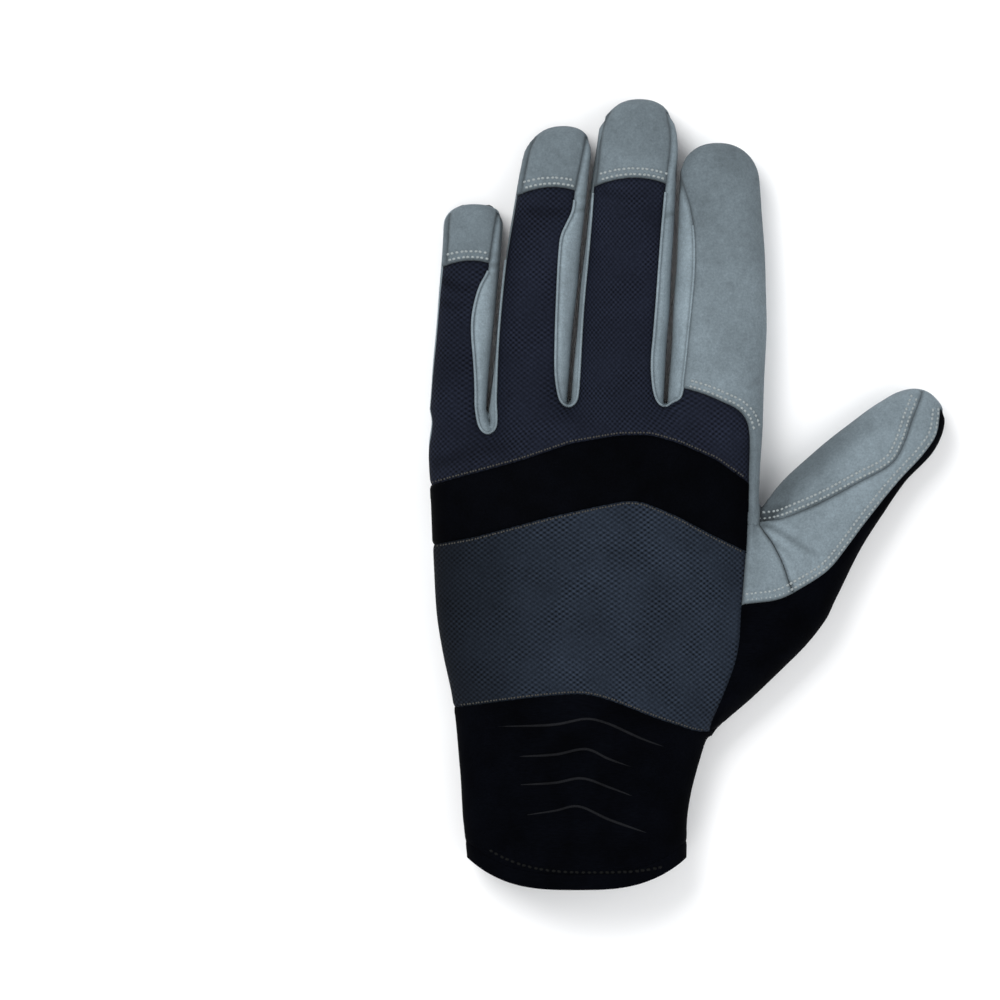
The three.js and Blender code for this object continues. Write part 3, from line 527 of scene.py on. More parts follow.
def level_surface(field, low, high, step):
    """Triangles of the surface where a field is 0. Each cell of a cubic grid that the surface
    crosses gets one point, the mean of the places where its edges cross, and each grid edge
    that crosses joins the four cells round it. The points are then slid onto the surface."""
    axes = [np.arange(a, b + step, step) for a, b in zip(low, high)]
    value = field(axes[0][:, None, None], axes[1][None, :, None], axes[2][None, None, :])
    inside = value < 0
    corners = [(a, b, c) for a in (0, 1) for b in (0, 1) for c in (0, 1)]
    nx, ny, nz = (n - 1 for n in value.shape)
    count = sum(inside[a : a + nx, b : b + ny, c : c + nz].astype(np.int8) for a, b, c in corners)
    cells = np.argwhere((count > 0) & (count < 8))
    number = np.full((nx, ny, nz), -1)
    number[tuple(cells.T)] = np.arange(len(cells))
    total = np.zeros((len(cells), 3))
    crossed = np.zeros(len(cells))
    for corner in corners:
        for axis in range(3):
            if corner[axis]:
                continue
            near = cells + corner
            away = near.copy()
            away[:, axis] += 1
            a, b = value[tuple(near.T)], value[tuple(away.T)]
            cross = (a < 0) != (b < 0)
            share = np.where(cross, a / np.where(cross, a - b, 1), 0)
            point = near.astype(float)
            point[:, axis] += share
            total += point * cross[:, None]
            crossed += cross
    points = np.array(low) + total / crossed[:, None] * step
    faces = []
    for axis in range(3):
        b, c = (axis + 1) % 3, (axis + 2) % 3
        first = np.take(inside, np.arange(inside.shape[axis] - 1), axis=axis)
        second = np.take(inside, np.arange(1, inside.shape[axis]), axis=axis)
        edges = np.argwhere(first != second)
        edges = edges[(edges[:, b] > 0) & (edges[:, c] > 0)]
        edges = edges[(edges[:, b] < number.shape[b]) & (edges[:, c] < number.shape[c])]
        ring = []
        for db, dc in ((-1, -1), (0, -1), (0, 0), (-1, 0)):
            cell = edges.copy()
            cell[:, b] += db
            cell[:, c] += dc
            ring.append(number[tuple(cell.T)])
        quad = np.stack(ring, axis=1)
        out = first[tuple(edges.T)]
        quad[~out] = quad[~out][:, ::-1]
        faces += [quad[:, [0, 1, 2]], quad[:, [0, 2, 3]]]
    for _ in range(3):
        slope = gradient(field, points)
        size = np.maximum((slope**2).sum(1), 0.25)
        move = -field(*points.T)[:, None] * slope / size[:, None]
        points = points + np.clip(move, -step / 2, step / 2)
    return points, np.concatenate(faces)


class Skin:
    """A sheet of triangles with, at each point, its place, outward direction and distance to
    the sewn edge."""

    def __init__(self, data, faces):
        self.data = data
        self.faces = faces

    @property
    def points(self):
        return self.data[:, 0:3]

    @property
    def out(self):
        return self.data[:, 3:6]

    @property
    def edge(self):
        return self.data[:, 6]


def kept(skin, g, sewn_there=True):
    """The part of a skin where g is above 0. A triangle that the line g = 0 crosses is cut
    where g, taken as even along its sides, is 0. The line counts as a sewn edge or not."""
    above = (g > 0)[skin.faces]
    count = above.sum(axis=1)
    whole = skin.faces[count == 3]

    def turned(faces, flags, first):
        start = np.argmax(flags == first, axis=1)
        return np.take_along_axis(faces, (start[:, None] + np.arange(3)) % 3, axis=1)

    one = turned(skin.faces[count == 1], above[count == 1], True)
    two = turned(skin.faces[count == 2], above[count == 2], False)
    sides = np.concatenate([one[:, [0, 1]], one[:, [0, 2]], two[:, [0, 1]], two[:, [0, 2]]])
    sides = np.sort(sides, axis=1)
    size = len(skin.data)
    keys, place = np.unique(sides[:, 0] * size + sides[:, 1], return_inverse=True)
    a, b = keys // size, keys % size
    share = (g[a] / (g[a] - g[b]))[:, None]
    cut = skin.data[a] * (1 - share) + skin.data[b] * share
    data = skin.data.copy()
    if sewn_there:
        cut[:, 6] = 0.0
        data[:, 6] = np.minimum(data[:, 6], np.abs(g))
    data = np.concatenate([data, cut])
    place = place.reshape(-1) + size
    n, m = len(one), len(two)
    o1, o2, t1, t2 = place[:n], place[n : 2 * n], place[2 * n : 2 * n + m], place[2 * n + m :]
    faces = np.concatenate(
        [
            whole,
            np.stack([one[:, 0], o1, o2], axis=1),
            np.stack([t1, two[:, 1], two[:, 2]], axis=1),
            np.stack([t1, two[:, 2], t2], axis=1),
        ]
    )
    used, faces = np.unique(faces, return_inverse=True)
    return Skin(data[used], faces.reshape(-1, 3))


def scored(skin, g, sewn_there=False):
    """A skin with the line g = 0 cut into its triangles and the two sides kept together, so
    that a seam or a round edge can follow the line."""
    sides = [kept(skin, g, sewn_there), kept(skin, -g, sewn_there)]
    data = np.concatenate([side.data for side in sides])
    faces = np.concatenate([sides[0].faces, sides[1].faces + len(sides[0].data)])
    places = np.round(data[:, :3], 5)
    _, first, place = np.unique(places, axis=0, return_index=True, return_inverse=True)
    return Skin(data[first], place.reshape(-1)[faces])


def depth_inside(points, outline):
    """Distance from plan points to a closed outline, above 0 inside."""
    nearest = np.full(len(points), FAR * FAR)
    inside = np.zeros(len(points), bool)
    x, y = points[:, 0], points[:, 1]
    for a, b in zip(outline, np.roll(outline, -1, axis=0)):
        side = b - a
        length = side @ side
        if length < 1e-12:
            continue
        t = np.clip(((x - a[0]) * side[0] + (y - a[1]) * side[1]) / length, 0, 1)
        gap = (x - a[0] - t * side[0]) ** 2 + (y - a[1] - t * side[1]) ** 2
        nearest = np.minimum(nearest, gap)
        crosses = (a[1] > y) != (b[1] > y)
        if a[1] != b[1]:
            inside ^= crosses & (x < a[0] + (y - a[1]) * side[0] / side[1])
    return np.where(inside, 1, -1) * np.sqrt(nearest)


def far_from(point, x, y):
    """One plan point, moved from another."""
    return np.array([[point[0] + x, point[1] + y]])


def joined(*parts):
    """Lines and points of a plan, one after the other."""
    return np.concatenate([np.atleast_2d(part) for part in parts])


def crotch_foot(left, right, drop):
    """The lower end of a side strip: three points round the start of the gap."""
    a, b = on_finger(FINGERS[left], [(0, 1)])[0], on_finger(FINGERS[right], [(0, -1)])[0]
    x, y = (a[0] + b[0]) / 2, FINGER_LINE - drop + CROTCH_RISE
    side, back = CROTCH_SEAM * 0.7, CROTCH_SEAM * 0.5
    return [(x - side, y - back), (x, y - CROTCH_SEAM), (x + side, y - back)]


def strip_outlines(left, right, drop):
    """Outlines of a side strip between two fingers, on the back and on the palm side."""
    a, b = FINGERS[left], FINGERS[right]
    foot = crotch_foot(left, right, drop)
    down = on_finger(a, FINGER_SEAMS[left]["right"])
    up = on_finger(b, FINGER_SEAMS[right]["left"])
    over = [up[-1] + [-0.5, 3.0], down[0] + [2.5, 3.0]]
    top = joined(curved(joined(down, foot, up)), over)
    under_down = on_finger(a, [(0.95, 1.05), (0.6, UNDER_SEAM), (0.05, UNDER_SEAM)])
    under_up = on_finger(b, [(0.05, -UNDER_SEAM), (0.6, -UNDER_SEAM), (0.95, -1.05)])
    return top, joined(under_down, foot, under_up, over)


def index_outline():
    """Outline of the leather over the forefinger, with its tail down the side of the hand."""
    finger = FINGERS["index"]
    tip = on_finger(finger, [(1, 0)])[0]
    start = on_palm([(0.95, 1.58)])[0]
    edge = curved(on_palm(BACK_EDGE[6:]))
    sides = on_finger(finger, [(0.1, -1.06), (0.7, -1.04)])
    outer = on_finger(finger, [(0.7, 1), (0.1, 1)]) + [SEAM_LIFT / 1.5, 0]
    left, right = -0.43 * finger["width"], finger["width"] / 2
    tips = joined(far_from(tip, left, SEAM_LIFT), far_from(tip, right, SEAM_LIFT))
    return joined(start, edge, sides, tips, outer, far_from(start, SEAM_LIFT / 1.5, 0))


def gusset_outlines():
    """Outlines of the gusset on the back and on the palm side, from its seams outwards."""
    back = curved(on_palm(BACK_EDGE[:5]))
    top, under = curved(on_thumb(GUSSET_TOP)), curved(on_thumb(GUSSET_UNDER))
    start = [(RIGHT, LOW)]
    return (
        joined(start, [(back[0][0], LOW)], back, top, far_from(top[-1], FAR / 8, FAR / 40)),
        joined(start, [(under[0][0], LOW)], under, far_from(under[-1], FAR / 8, FAR / 40)),
    )


def web_outline():
    """Outline of the panel between the forefinger and the thumb."""
    edge = on_palm(BACK_EDGE[4:6] + [(0.948, 1.66)])
    return joined(edge, curved(on_thumb(WEB_SEAM)), far_from(edge[0], 0, -OVERLAP))


def cap_outline(name):
    """Outline of a fingertip cap: its lower edge is a parabola across the finger."""
    finger, share = FINGERS[name], CAPS[name]
    start, arch = 1 - share, CAP_ARCH * finger["width"] / finger["length"]
    across = np.linspace(-1.15, 1.1, 10)
    edge = on_finger(finger, np.stack([start + arch * (1 - across**2), across], axis=1))
    tip = on_finger(finger, [(1, 0)])[0]
    half = finger["width"] / 2
    return joined(edge, far_from(tip, half, OVERLAP), far_from(tip, -half, OVERLAP))


def pattern():
    """The panels in the order in which they are cut: name, outline on the back, outline on the
    palm side."""
    wrist, hem = curved(on_palm(WRIST_SEAM)), curved(on_palm(PALM_HEM))
    panels = [("cuff", joined(wrist, FOOT), joined(hem, FOOT))]
    for left, right, drop in CROTCHES:
        panels.append((f"fourchette_{left}_{right}", *strip_outlines(left, right, drop)))
    panels.append(("side_gusset", *gusset_outlines()))
    panels.append(("index_back", index_outline(), None))
    thumb, web, ball = (curved(on_thumb(seam)) for seam in (THUMB_SEAM, WEB_SEAM, BALL_SEAM))
    panels.append(("thumb_back", joined(web[::-1], thumb, far_from(thumb[-1], FAR / 8, 0)), None))
    inner = joined(thumb, far_from(thumb[-1], 0, FAR / 8), far_from(thumb[0], OVERLAP / 2, FAR / 8))
    under = joined(ball, [(RIGHT, LOW), (RIGHT, FAR / 2)], far_from(ball[0], OVERLAP / 2, FAR / 8))
    panels.append(("thumb_inner", inner, under))
    panels += [(f"tip_cap_{name}", cap_outline(name), None) for name in CAPS]
    lower, upper = eased(on_palm(BAND_LOWER)), eased(on_palm(BAND_UPPER))
    panels.append(("knuckle_band", joined(lower, upper[::-1]), None))
    panels.append(("back_lower", joined(lower, FOOT), None))
    panels.append(("back_upper", joined(upper, [(RIGHT, FAR), (LEFT, FAR)]), None))
    return panels


def panel_depth(points, top, under):
    """How deep points lie in a panel that covers its outline above the split height, and its
    other outline below it."""
    rise = points[:, 2] - SPLIT
    on_back = depth_inside(points[:, :2], top)
    if under is None:
        return np.minimum(on_back, rise)
    on_front = depth_inside(points[:, :2], under)
    sides = np.maximum(np.minimum(on_back, rise), np.minimum(on_front, -rise))
    return np.maximum(sides, np.minimum(on_back, on_front))


def hem_height(points):
    """How far points lie above the hem, which rises towards its sides."""
    left, right = palm_sides(np.zeros(len(points)))
    u = (points[:, 0] - (right - left) / 2) / ((right + left) / 2)
    return points[:, 1] - palm_shift(0.0, u)


ROOM = ((-60.0, -6.0, -2.0), (116.0, 256.0, 38.0))  # corners of the space that holds the glove


@functools.lru_cache(maxsize=None)
def skin_panels(step):
    """The skin of the glove, cut into its panels."""
    points, faces = level_surface(form, *ROOM, step)
    out = unit(gradient(form, points))
    data = np.column_stack([points, out, np.full(len(points), FAR)])
    whole = Skin(data, faces)
    whole = kept(whole, hem_height(whole.points))
    whole.data[:, 6] = FAR
    panels = {}
    rest = whole
    tape = hem_height(rest.points) - BINDING_WIDTH
    panels["cuff_binding"], rest = kept(rest, -tape), kept(rest, tape)
    for name, top, under in pattern():
        deep = panel_depth(rest.points, top, under)
        if name == "index_back":
            deep = np.maximum(deep, panel_depth(rest.points, web_outline(), None))
        panels[name], rest = kept(rest, deep), kept(rest, -deep)
    side = panels["index_back"]
    ahead = side.points[:, 1] - TAIL_END
    panels["index_back"], panels["web_panel"] = kept(side, ahead, False), kept(side, -ahead, False)
    panels["palm"] = rest
    for name in CAPS:
        cap = panels[f"tip_cap_{name}"]
        panels[f"tip_cap_{name}"] = scored(cap, side_line(cap.points, FINGERS[name]), sewn_there=True)
    for name, skin in panels.items():
        for reach in (RIM / 3, RIM):
            skin = scored(skin, skin.edge - reach)
        panels[name] = skin
    return whole, panels


def side_line(points, finger):
    """How far points lie to the right of the seam along the left side of a fingertip, which
    runs out over the round tip."""
    ahead = points[:, 1] - FINGER_LINE
    along = np.clip(ahead / finger["length"], 0, 1)
    middle, half = finger_across(finger, along)
    reach = finger["round"] * finger["width"]
    narrow = rounded(np.maximum(finger["length"] + CAP_SEAM - ahead, 0.01), reach)
    return half * narrow - CAP_SEAM + points[:, 0] - middle


# Meshes
CLOTH_MIDDLE, CLOTH_SIDE, CLOTH_FALL = 1.5, 12.0, 0.57
EDGE_REACH = 9.0  # beyond this a point's distance from its seam makes no difference


def cloth_coordinates(points):
    """Where points lie on the cloth before it was curved: across, the distance from the
    middle line, longer where the cloth falls away at the sides, and along the glove."""
    depth = np.maximum(PALM_HEIGHT - points[:, 2], 0)
    side = np.tanh((points[:, 0] - CLOTH_MIDDLE) / CLOTH_SIDE)
    return np.stack([points[:, 0] + CLOTH_FALL * depth * side, points[:, 1]], axis=1)


def new_piece(name, points, faces, material, slot=None, nodes=(), cloth=None, edge=None, fold=None):
    """A mesh object at the origin, in metres, that rides on the glove. cloth is where its
    points lie on the flat cloth, edge how far they lie from the sewn edge, which the finish
    darkens as seam dirt and painted shade, and fold how deep they lie in a fold, which the
    finish darkens as painted shade."""
    mesh = bpy.data.meshes.new(name)
    mesh.from_pydata((points - ORIGIN) * MM, [], faces)
    mesh.validate()
    if cloth is not None:
        corners = np.zeros(len(mesh.loops), np.int32)
        mesh.loops.foreach_get("vertex_index", corners)
        layer = mesh.uv_layers.new(name="cloth")
        layer.data.foreach_set("uv", (cloth[corners] * MM).astype(np.float32).ravel())
    metres = None if edge is None else np.minimum(edge, EDGE_REACH) * MM
    for title, values in (("edge", metres), ("fold", fold)):
        if values is not None:
            stored = mesh.attributes.new(title, "FLOAT", "POINT")
            stored.data.foreach_set("value", values.astype(np.float32))
    mesh.shade_smooth()
    mesh.materials.append(material)
    piece = bpy.data.objects.new(name, mesh)
    bpy.context.scene.collection.objects.link(piece)
    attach(piece, "root")
    if nodes:
        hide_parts(*nodes)
    return piece


def thicken(piece, thickness):
    """A wall of that thickness, inwards from the outer face."""
    wall = piece.modifiers.new("wall", "SOLIDIFY")
    wall.thickness = thickness
    wall.offset = -1.0
    wall.use_rim = True
    return piece


def sewn(edge, lift, sink, width):
    """Height of a panel above the skin. It stands up by lift behind a round edge, and dips by
    sink into the seam within width of it."""
    gone = np.clip(1 - edge / RIM, 0, 1)
    return lift * np.sqrt(1 - gone**2) - sink * (1 - smooth(edge / width))


def near_line(points, line):
    """Distance in the plan from points to a line, and the share of the way along the line where
    they are nearest to it."""
    nearest, share = np.full(len(points), FAR), np.zeros(len(points))
    for k, (a, b) in enumerate(zip(line[:-1], line[1:])):
        side = b - a
        t = np.clip((points[:, :2] - a) @ side / max(side @ side, 1e-12), 0, 1)
        gap = np.linalg.norm(points[:, :2] - a - t[:, None] * side, axis=1)
        closer = gap < nearest
        nearest = np.where(closer, gap, nearest)
        share = np.where(closer, (k + t) / (len(line) - 1), share)
    return nearest, share


FOLD_BANK = 0.35
FOLD_DARK = 0.8  # depth of a fold whose bottom gets the full painted shade


def folds(points, lines):
    """Soft valleys along plan lines: a bell across each line of its depth and width, with a low
    bank on both sides, strongest near its start and gone at its end."""
    rise = np.zeros(len(points))
    for line, depth, width in lines:
        gap, share = near_line(points, curved(line, 4))
        fade = np.sqrt(np.maximum(0, 1 - share)) * smooth(share * 12 + 0.3)
        valley = np.exp(-((gap / width) ** 2))
        bank = np.exp(-(((gap - 2 * width) / width) ** 2))
        rise -= depth * fade * (valley - FOLD_BANK * bank)
    return rise


RIPPLE = (9.0, 0.22)  # size and height of the soft unevenness of the cloth


def ripple(points, size, height):
    """A soft unevenness: three slanting sine waves of about that size."""
    x, y, z = points.T / size
    waves = (2.1 * x + 1.3 * y + 0.7, -1.4 * x + 2.3 * y + 1.9 * z, 0.9 * x - 0.6 * y + 2.9)
    return height * sum(np.sin(wave) for wave in waves) / 3


def cloth_rise(points, edge, lift, sink, width, creases):
    """Height of a panel above the skin at points whose distance from the seam is edge: its
    lift and its seam, a soft unevenness and its folds. Gives the depth of the folds too, as the
    share of painted shade that the finish puts in them."""
    upper = smooth((points[:, 2] - SPLIT) / 6) * smooth(edge / 1.5)
    fold = folds(points, creases)
    rise = sewn(edge, lift, sink, width) + ripple(points, *RIPPLE) + fold * upper
    return rise, np.clip(-fold / FOLD_DARK, 0, 1) * smooth((points[:, 2] - SPLIT) / 3 + 1)


def add_panel(name, skin, finish, slot, lift, sink, width, thickness):
    """One sewn panel, which stands for the solid of the same name."""
    points = skin.points
    rise, fold = cloth_rise(points, skin.edge, lift, sink, width, PANEL_FOLDS.get(name, ()))
    shaped = points + skin.out * rise[:, None]
    shaped[:, 2] = np.maximum(shaped[:, 2], LEATHER_FLOOR * 0.5)
    cloth = cloth_coordinates(points)
    piece = new_piece(name, shaped, skin.faces, finish_named(finish), slot, (name,), cloth, skin.edge, fold)
    return thicken(piece, thickness)


# Threads
THREAD_TURN, THREAD_SLIP = 0.2, 0.12  # how far stitches turn and slip along their row
CAPSULE_SIDES = 6
CAPSULE_RINGS = np.array([(-0.5, 0.25), (-0.4, 0.85), (0.0, 1.0), (0.4, 0.85), (0.5, 0.25)])


def resampled(line, pitch):
    """Points at even spacing along a line, half a pitch in from its start, and the directions
    of the line there."""
    sides = np.diff(line, axis=0)
    length = np.concatenate([[0], np.cumsum(np.linalg.norm(sides, axis=1))])
    at = np.arange(pitch / 2, length[-1], pitch)
    step = 0.3
    back, points, ahead = (
        np.stack([np.interp(place, length, column) for column in line.T], axis=1)
        for place in (at - step, at, at + step)
    )
    return points, unit(ahead - back)


def offset_line(line, by):
    """A plan line moved to its left by a distance."""
    way = unit(np.gradient(line, axis=0))
    return line + by * np.stack([-way[:, 1], way[:, 0]], axis=1)


ABOVE, BELOW = 40.0, -4.0  # heights clear of the glove


def on_skin(plan, upper=True):
    """The points of the skin above or below plan points, by halving the height in which the
    form ends, and whether there is any skin there."""
    x, y = plan.T
    inside = np.full(len(plan), SPLIT)
    outside = np.full(len(plan), ABOVE if upper else BELOW)
    hit = form(x, y, inside) < 0
    for _ in range(24):
        middle = (inside + outside) / 2
        deep = form(x, y, middle) < 0
        inside = np.where(deep, middle, inside)
        outside = np.where(deep, outside, middle)
    return np.column_stack([plan, inside]), hit


def across_way(out, way):
    """Directions turned square to a line's own."""
    return unit(out - (out * way).sum(1)[:, None] * way)


def thread_row(plan, inset, panel_name, lift, pitch, length, radius, upper):
    """One row of stitches along a plan line, inset from a seam of a panel: points and faces of
    small capsules that lie in the cloth's surface, or lift off the skin. A capsule is a
    profile of rings carried along the line."""
    at, heading = resampled(plan, pitch)
    order = np.arange(len(at))
    turn = THREAD_TURN * np.sin(order * 2.4 + 11.0 * inset)
    heading = heading + turn[:, None] * np.stack([-heading[:, 1], heading[:, 0]], axis=1)
    at = at + (THREAD_SLIP * np.sin(order * 4.1 + 7.0 * inset))[:, None] * heading
    points, hit = on_skin(at, upper)
    if not hit.any():
        return np.zeros((0, 3)), np.zeros((0, 4), int)
    points = points[hit]
    ahead, _ = on_skin(at[hit] + heading[hit] * 0.4, upper)
    way = unit(ahead - points)
    out = across_way(gradient(form, points, 0.2), way)
    side = np.cross(way, out)
    angle = 2 * math.pi * np.arange(CAPSULE_SIDES) / CAPSULE_SIDES
    along = CAPSULE_RINGS[:, 0] * length
    sag = -(CAPSULE_RINGS[:, 0] * 2) ** 2 * radius * 0.9
    size = CAPSULE_RINGS[:, 1] * radius
    if panel_name:
        _, _, *make = PANELS[panel_name]
        edge = np.full(len(points), abs(inset))
        rise, _ = cloth_rise(points, edge, *make, PANEL_FOLDS.get(panel_name, ()))
        lift = lift + rise[:, None]
    base = points + out * lift
    ring = (
        base[:, None, None, :]
        + way[:, None, None, :] * along[None, :, None, None]
        + out[:, None, None, :] * (sag[:, None] + size[:, None] * np.sin(angle))[None, :, :, None]
        + side[:, None, None, :] * (size[:, None] * np.cos(angle))[None, :, :, None]
    )
    rings, sides = len(along), CAPSULE_SIDES
    k = np.arange(sides)
    n = (k + 1) % sides
    low, high = (np.stack([k + rise, n + rise], axis=1) for rise in (0, sides))
    belt = np.concatenate([low, high[:, ::-1]], axis=1)
    quads = [belt + r * sides for r in range(rings - 1)]
    ends = [[[0, 3, 2, 1], [0, 5, 4, 3]], [[0, 1, 2, 3], [0, 3, 4, 5]]]
    caps = [np.array(ends[0]), np.array(ends[1]) + (rings - 1) * sides]
    faces = np.concatenate(quads + caps)[:, ::-1]
    start = np.arange(len(points)) * rings * sides
    return ring.reshape(-1, 3), (faces[None] + start[:, None, None]).reshape(-1, 4)


def merged(parts):
    """Several meshes as one."""
    points, faces, start = [], [], 0
    for p, f in parts:
        points.append(p)
        faces.append(f + start)
        start += len(p)
    return np.concatenate(points), np.concatenate(faces)


TUBE_SIDES = 8


def tube(line, radius, out):
    """A round cord along a line of points: rings whose radius follows the given shares,
    between closed ends."""
    sides = TUBE_SIDES
    way = unit(np.gradient(line, axis=0))
    out = across_way(out, way)
    side = np.cross(way, out)
    angle = 2 * math.pi * np.arange(sides) / sides
    radius = np.broadcast_to(radius, len(line))[:, None, None]
    round_it = out[:, None] * np.sin(angle)[:, None] + side[:, None] * np.cos(angle)[:, None]
    rings = line[:, None] + radius * round_it
    n = len(line)
    k = np.arange(sides)
    nxt = (k + 1) % sides
    rows = np.arange(n - 1)[:, None] * sides
    quads = np.stack([rows + k, rows + nxt, rows + sides + nxt, rows + sides + k], axis=2).reshape(-1, 4)
    points = np.concatenate([rings.reshape(-1, 3), line[:1], line[-1:]])
    first, last = n * sides, n * sides + 1
    end = (n - 1) * sides
    halves = np.concatenate([quads[:, [0, 1, 2]], quads[:, [0, 2, 3]]])
    heel = np.stack([nxt, k, np.full(sides, first)], axis=1)
    toe = np.stack([end + k, end + nxt, np.full(sides, last)], axis=1)
    return points, np.concatenate([halves, heel, toe])[:, ::-1]


# Finishes
class Finish:
    """A material put together node by node."""

    def __init__(self, name):
        self.material = bpy.data.materials.new(name)
        self.material.use_nodes = True
        self.tree = self.material.node_tree
        self.tree.nodes.clear()
        self.shader = self.node("ShaderNodeBsdfPrincipled")
        end = self.node("ShaderNodeOutputMaterial")
        self.tree.links.new(self.shader.outputs[0], end.inputs["Surface"])

    def node(self, kind, inputs=None, **settings):
        made = self.tree.nodes.new(kind)
        for key, value in settings.items():
            setattr(made, key, value)
        for key, value in (inputs or {}).items():
            self.feed(made.inputs[key], value)
        return made

    def feed(self, socket, value):
        """Links a socket, or sets it to a plain value. A colour may leave out its alpha."""
        if isinstance(value, bpy.types.NodeSocket):
            self.tree.links.new(value, socket)
        elif socket.type == "RGBA" and len(value) == 3:
            socket.default_value = (*value, 1.0)
        else:
            socket.default_value = value

    def set(self, **sockets):
        """Feeds the shader's sockets of those names."""
        found = {socket.name.lower().replace(" ", "_"): socket for socket in self.shader.inputs}
        for key, value in sockets.items():
            self.feed(found[key], value)

    def place(self):
        return self.node("ShaderNodeTexCoord").outputs["Object"]

    def noise(self, size, detail=2.0, roughness=0.5, place=None):
        """Noise whose lumps are about size metres."""
        made = self.node(
            "ShaderNodeTexNoise",
            {"Vector": place or self.place(), "Scale": 1 / size, "Detail": detail, "Roughness": roughness},
        )
        return made.outputs[0]

    def math(self, operation, a, b=0.0):
        return self.node("ShaderNodeMath", {0: a, 1: b}, operation=operation).outputs[0]

    def range(self, value, low, high, to_low=0.0, to_high=1.0):
        inputs = {"Value": value, "From Min": low, "From Max": high, "To Min": to_low, "To Max": to_high}
        return self.node("ShaderNodeMapRange", inputs).outputs[0]

    def times(self, a, b):
        return self.math("MULTIPLY", a, b)

    def mix(self, share, a, b, blend="MIX"):
        made = self.node("ShaderNodeMix", data_type="RGBA", blend_type=blend)
        for socket, value in ((made.inputs[0], share), (made.inputs[6], a), (made.inputs[7], b)):
            self.feed(socket, value)
        return made.outputs[2]

    def shaded(self, colour, shade):
        """A colour times a shade."""
        return self.mix(1.0, colour, shade, "MULTIPLY")

    def bump(self, height, distance, strength=1.0, under=None):
        inputs = {"Height": height, "Distance": distance, "Strength": strength}
        if under is not None:
            inputs["Normal"] = under
        return self.node("ShaderNodeBump", inputs).outputs[0]

    def lattice(self, pitch_x, pitch_y):
        """Rows of dots on the cloth, every other row moved half a pitch sideways: the product
        of two cosines, 1 in the middle of a dot and -1 in the middle of a hole between dots."""
        uv = self.node("ShaderNodeUVMap", uv_map="cloth").outputs[0]
        axes = self.node("ShaderNodeSeparateXYZ", {0: uv})
        across = self.math("COSINE", self.times(axes.outputs[0], 2 * math.pi / pitch_x))
        along = self.math("COSINE", self.times(axes.outputs[1], 2 * math.pi / pitch_y))
        return self.times(across, along)


def scaled(colour, by):
    """A colour made brighter by a factor."""
    return tuple(min(1.0, c * by) for c in colour)


# How far from a seam its dirt and painted shade reach, in metres
SEAM_REACH = 0.0011
FOLD_LIGHT = 0.3  # brightness of the painted shade at the bottom of a fold


def seam_dirt_and_painted_shade(finish, colour, depth):
    """A colour that darkens by depth in the seam, as its dirt and painted shade, and in the folds, as painted
    shade.
    """
    edge = finish.node("ShaderNodeAttribute", attribute_name="edge").outputs["Fac"]
    fold = finish.node("ShaderNodeAttribute", attribute_name="fold").outputs["Fac"]
    seam = finish.range(edge, 0.0, SEAM_REACH, 1 - depth, 1.0)
    shade = finish.times(seam, finish.range(fold, 0.0, 1.0, 1.0, FOLD_LIGHT))
    return finish.shaded(colour, shade)


CLOUD_SPREAD = 0.26


def suede(name, colour, depth=0.5, fades=()):
    """Napped leather: broad soft clouds, a mottle of a few millimetres and a fine grain. Seams
    darken by depth, as their dirt and painted shade, and folds darken as painted shade. A fade
    is an axis, two places on it and how bright the leather is at each."""
    finish = Finish(name)
    clouds = finish.range(finish.noise(0.016, 3.0, 0.55), 0.3, 0.7)
    mottle = finish.range(finish.noise(0.0026, 5.0, 0.65), 0.25, 0.75)
    nap = finish.range(finish.noise(0.0007, 3.0, 0.7), 0.25, 0.75, 0.8, 1.2)
    share = finish.math("ADD", finish.times(clouds, 0.55), finish.times(mottle, 0.45))
    dark, pale = scaled(colour, 1 - CLOUD_SPREAD), scaled(colour, 1 + CLOUD_SPREAD)
    tone = finish.shaded(finish.mix(share, dark, pale), nap)
    for axis, start, end, low, high in fades:
        along = finish.node("ShaderNodeSeparateXYZ", {0: finish.place()}).outputs[axis]
        tone = finish.shaded(tone, finish.range(along, start, end, low, high))
    finish.set(base_color=seam_dirt_and_painted_shade(finish, tone, depth), roughness=0.95, specular_ior_level=0.08)
    finish.set(sheen_weight=0.05, sheen_roughness=0.5)
    grain = finish.bump(finish.noise(0.0005, 4.0, 0.7), 0.00025, 0.5)
    finish.set(normal=finish.bump(finish.noise(0.005, 3.0, 0.5), 0.0006, 0.4, grain))
    return finish.material


# Span across the hand over which the mesh darkens towards its outer side: painted shade
OUTER_SIDE = (-0.084, -0.04)


def dotted_mesh(name, colour, contrast, pitch_x, pitch_y, depth, dim):
    """Knitted mesh: rows of raised dots with dark holes between them, worn unevenly, and darkened
    to that share at the outer side of the hand as painted shade."""
    finish = Finish(name)
    grid = finish.lattice(pitch_x, pitch_y)
    worn = finish.range(finish.noise(0.009, 3.0, 0.6), 0.35, 0.65, 0.35, 1.0)
    grain = finish.range(finish.noise(0.0007, 3.0, 0.6), 0.3, 0.7, 0.75, 1.25)
    drift = finish.range(finish.noise(0.016, 2.0), 0.3, 0.7, 0.85, 1.15)
    across = finish.node("ShaderNodeSeparateXYZ", {0: finish.place()}).outputs[0]
    # Painted shade: the mesh is darker towards the outer side of the hand
    side = finish.range(across, *OUTER_SIDE, dim, 1.05)
    height = finish.times(grid, worn)
    share = finish.range(height, -1.0, 1.0, 1 - contrast, 1 + contrast * 1.5)
    shade = finish.times(finish.times(share, grain), finish.times(drift, side))
    tone = finish.shaded(colour, shade)
    finish.set(base_color=seam_dirt_and_painted_shade(finish, tone, 0.4), roughness=0.85, specular_ior_level=0.05)
    finish.set(normal=finish.bump(grid, depth, 0.6))
    return finish.material


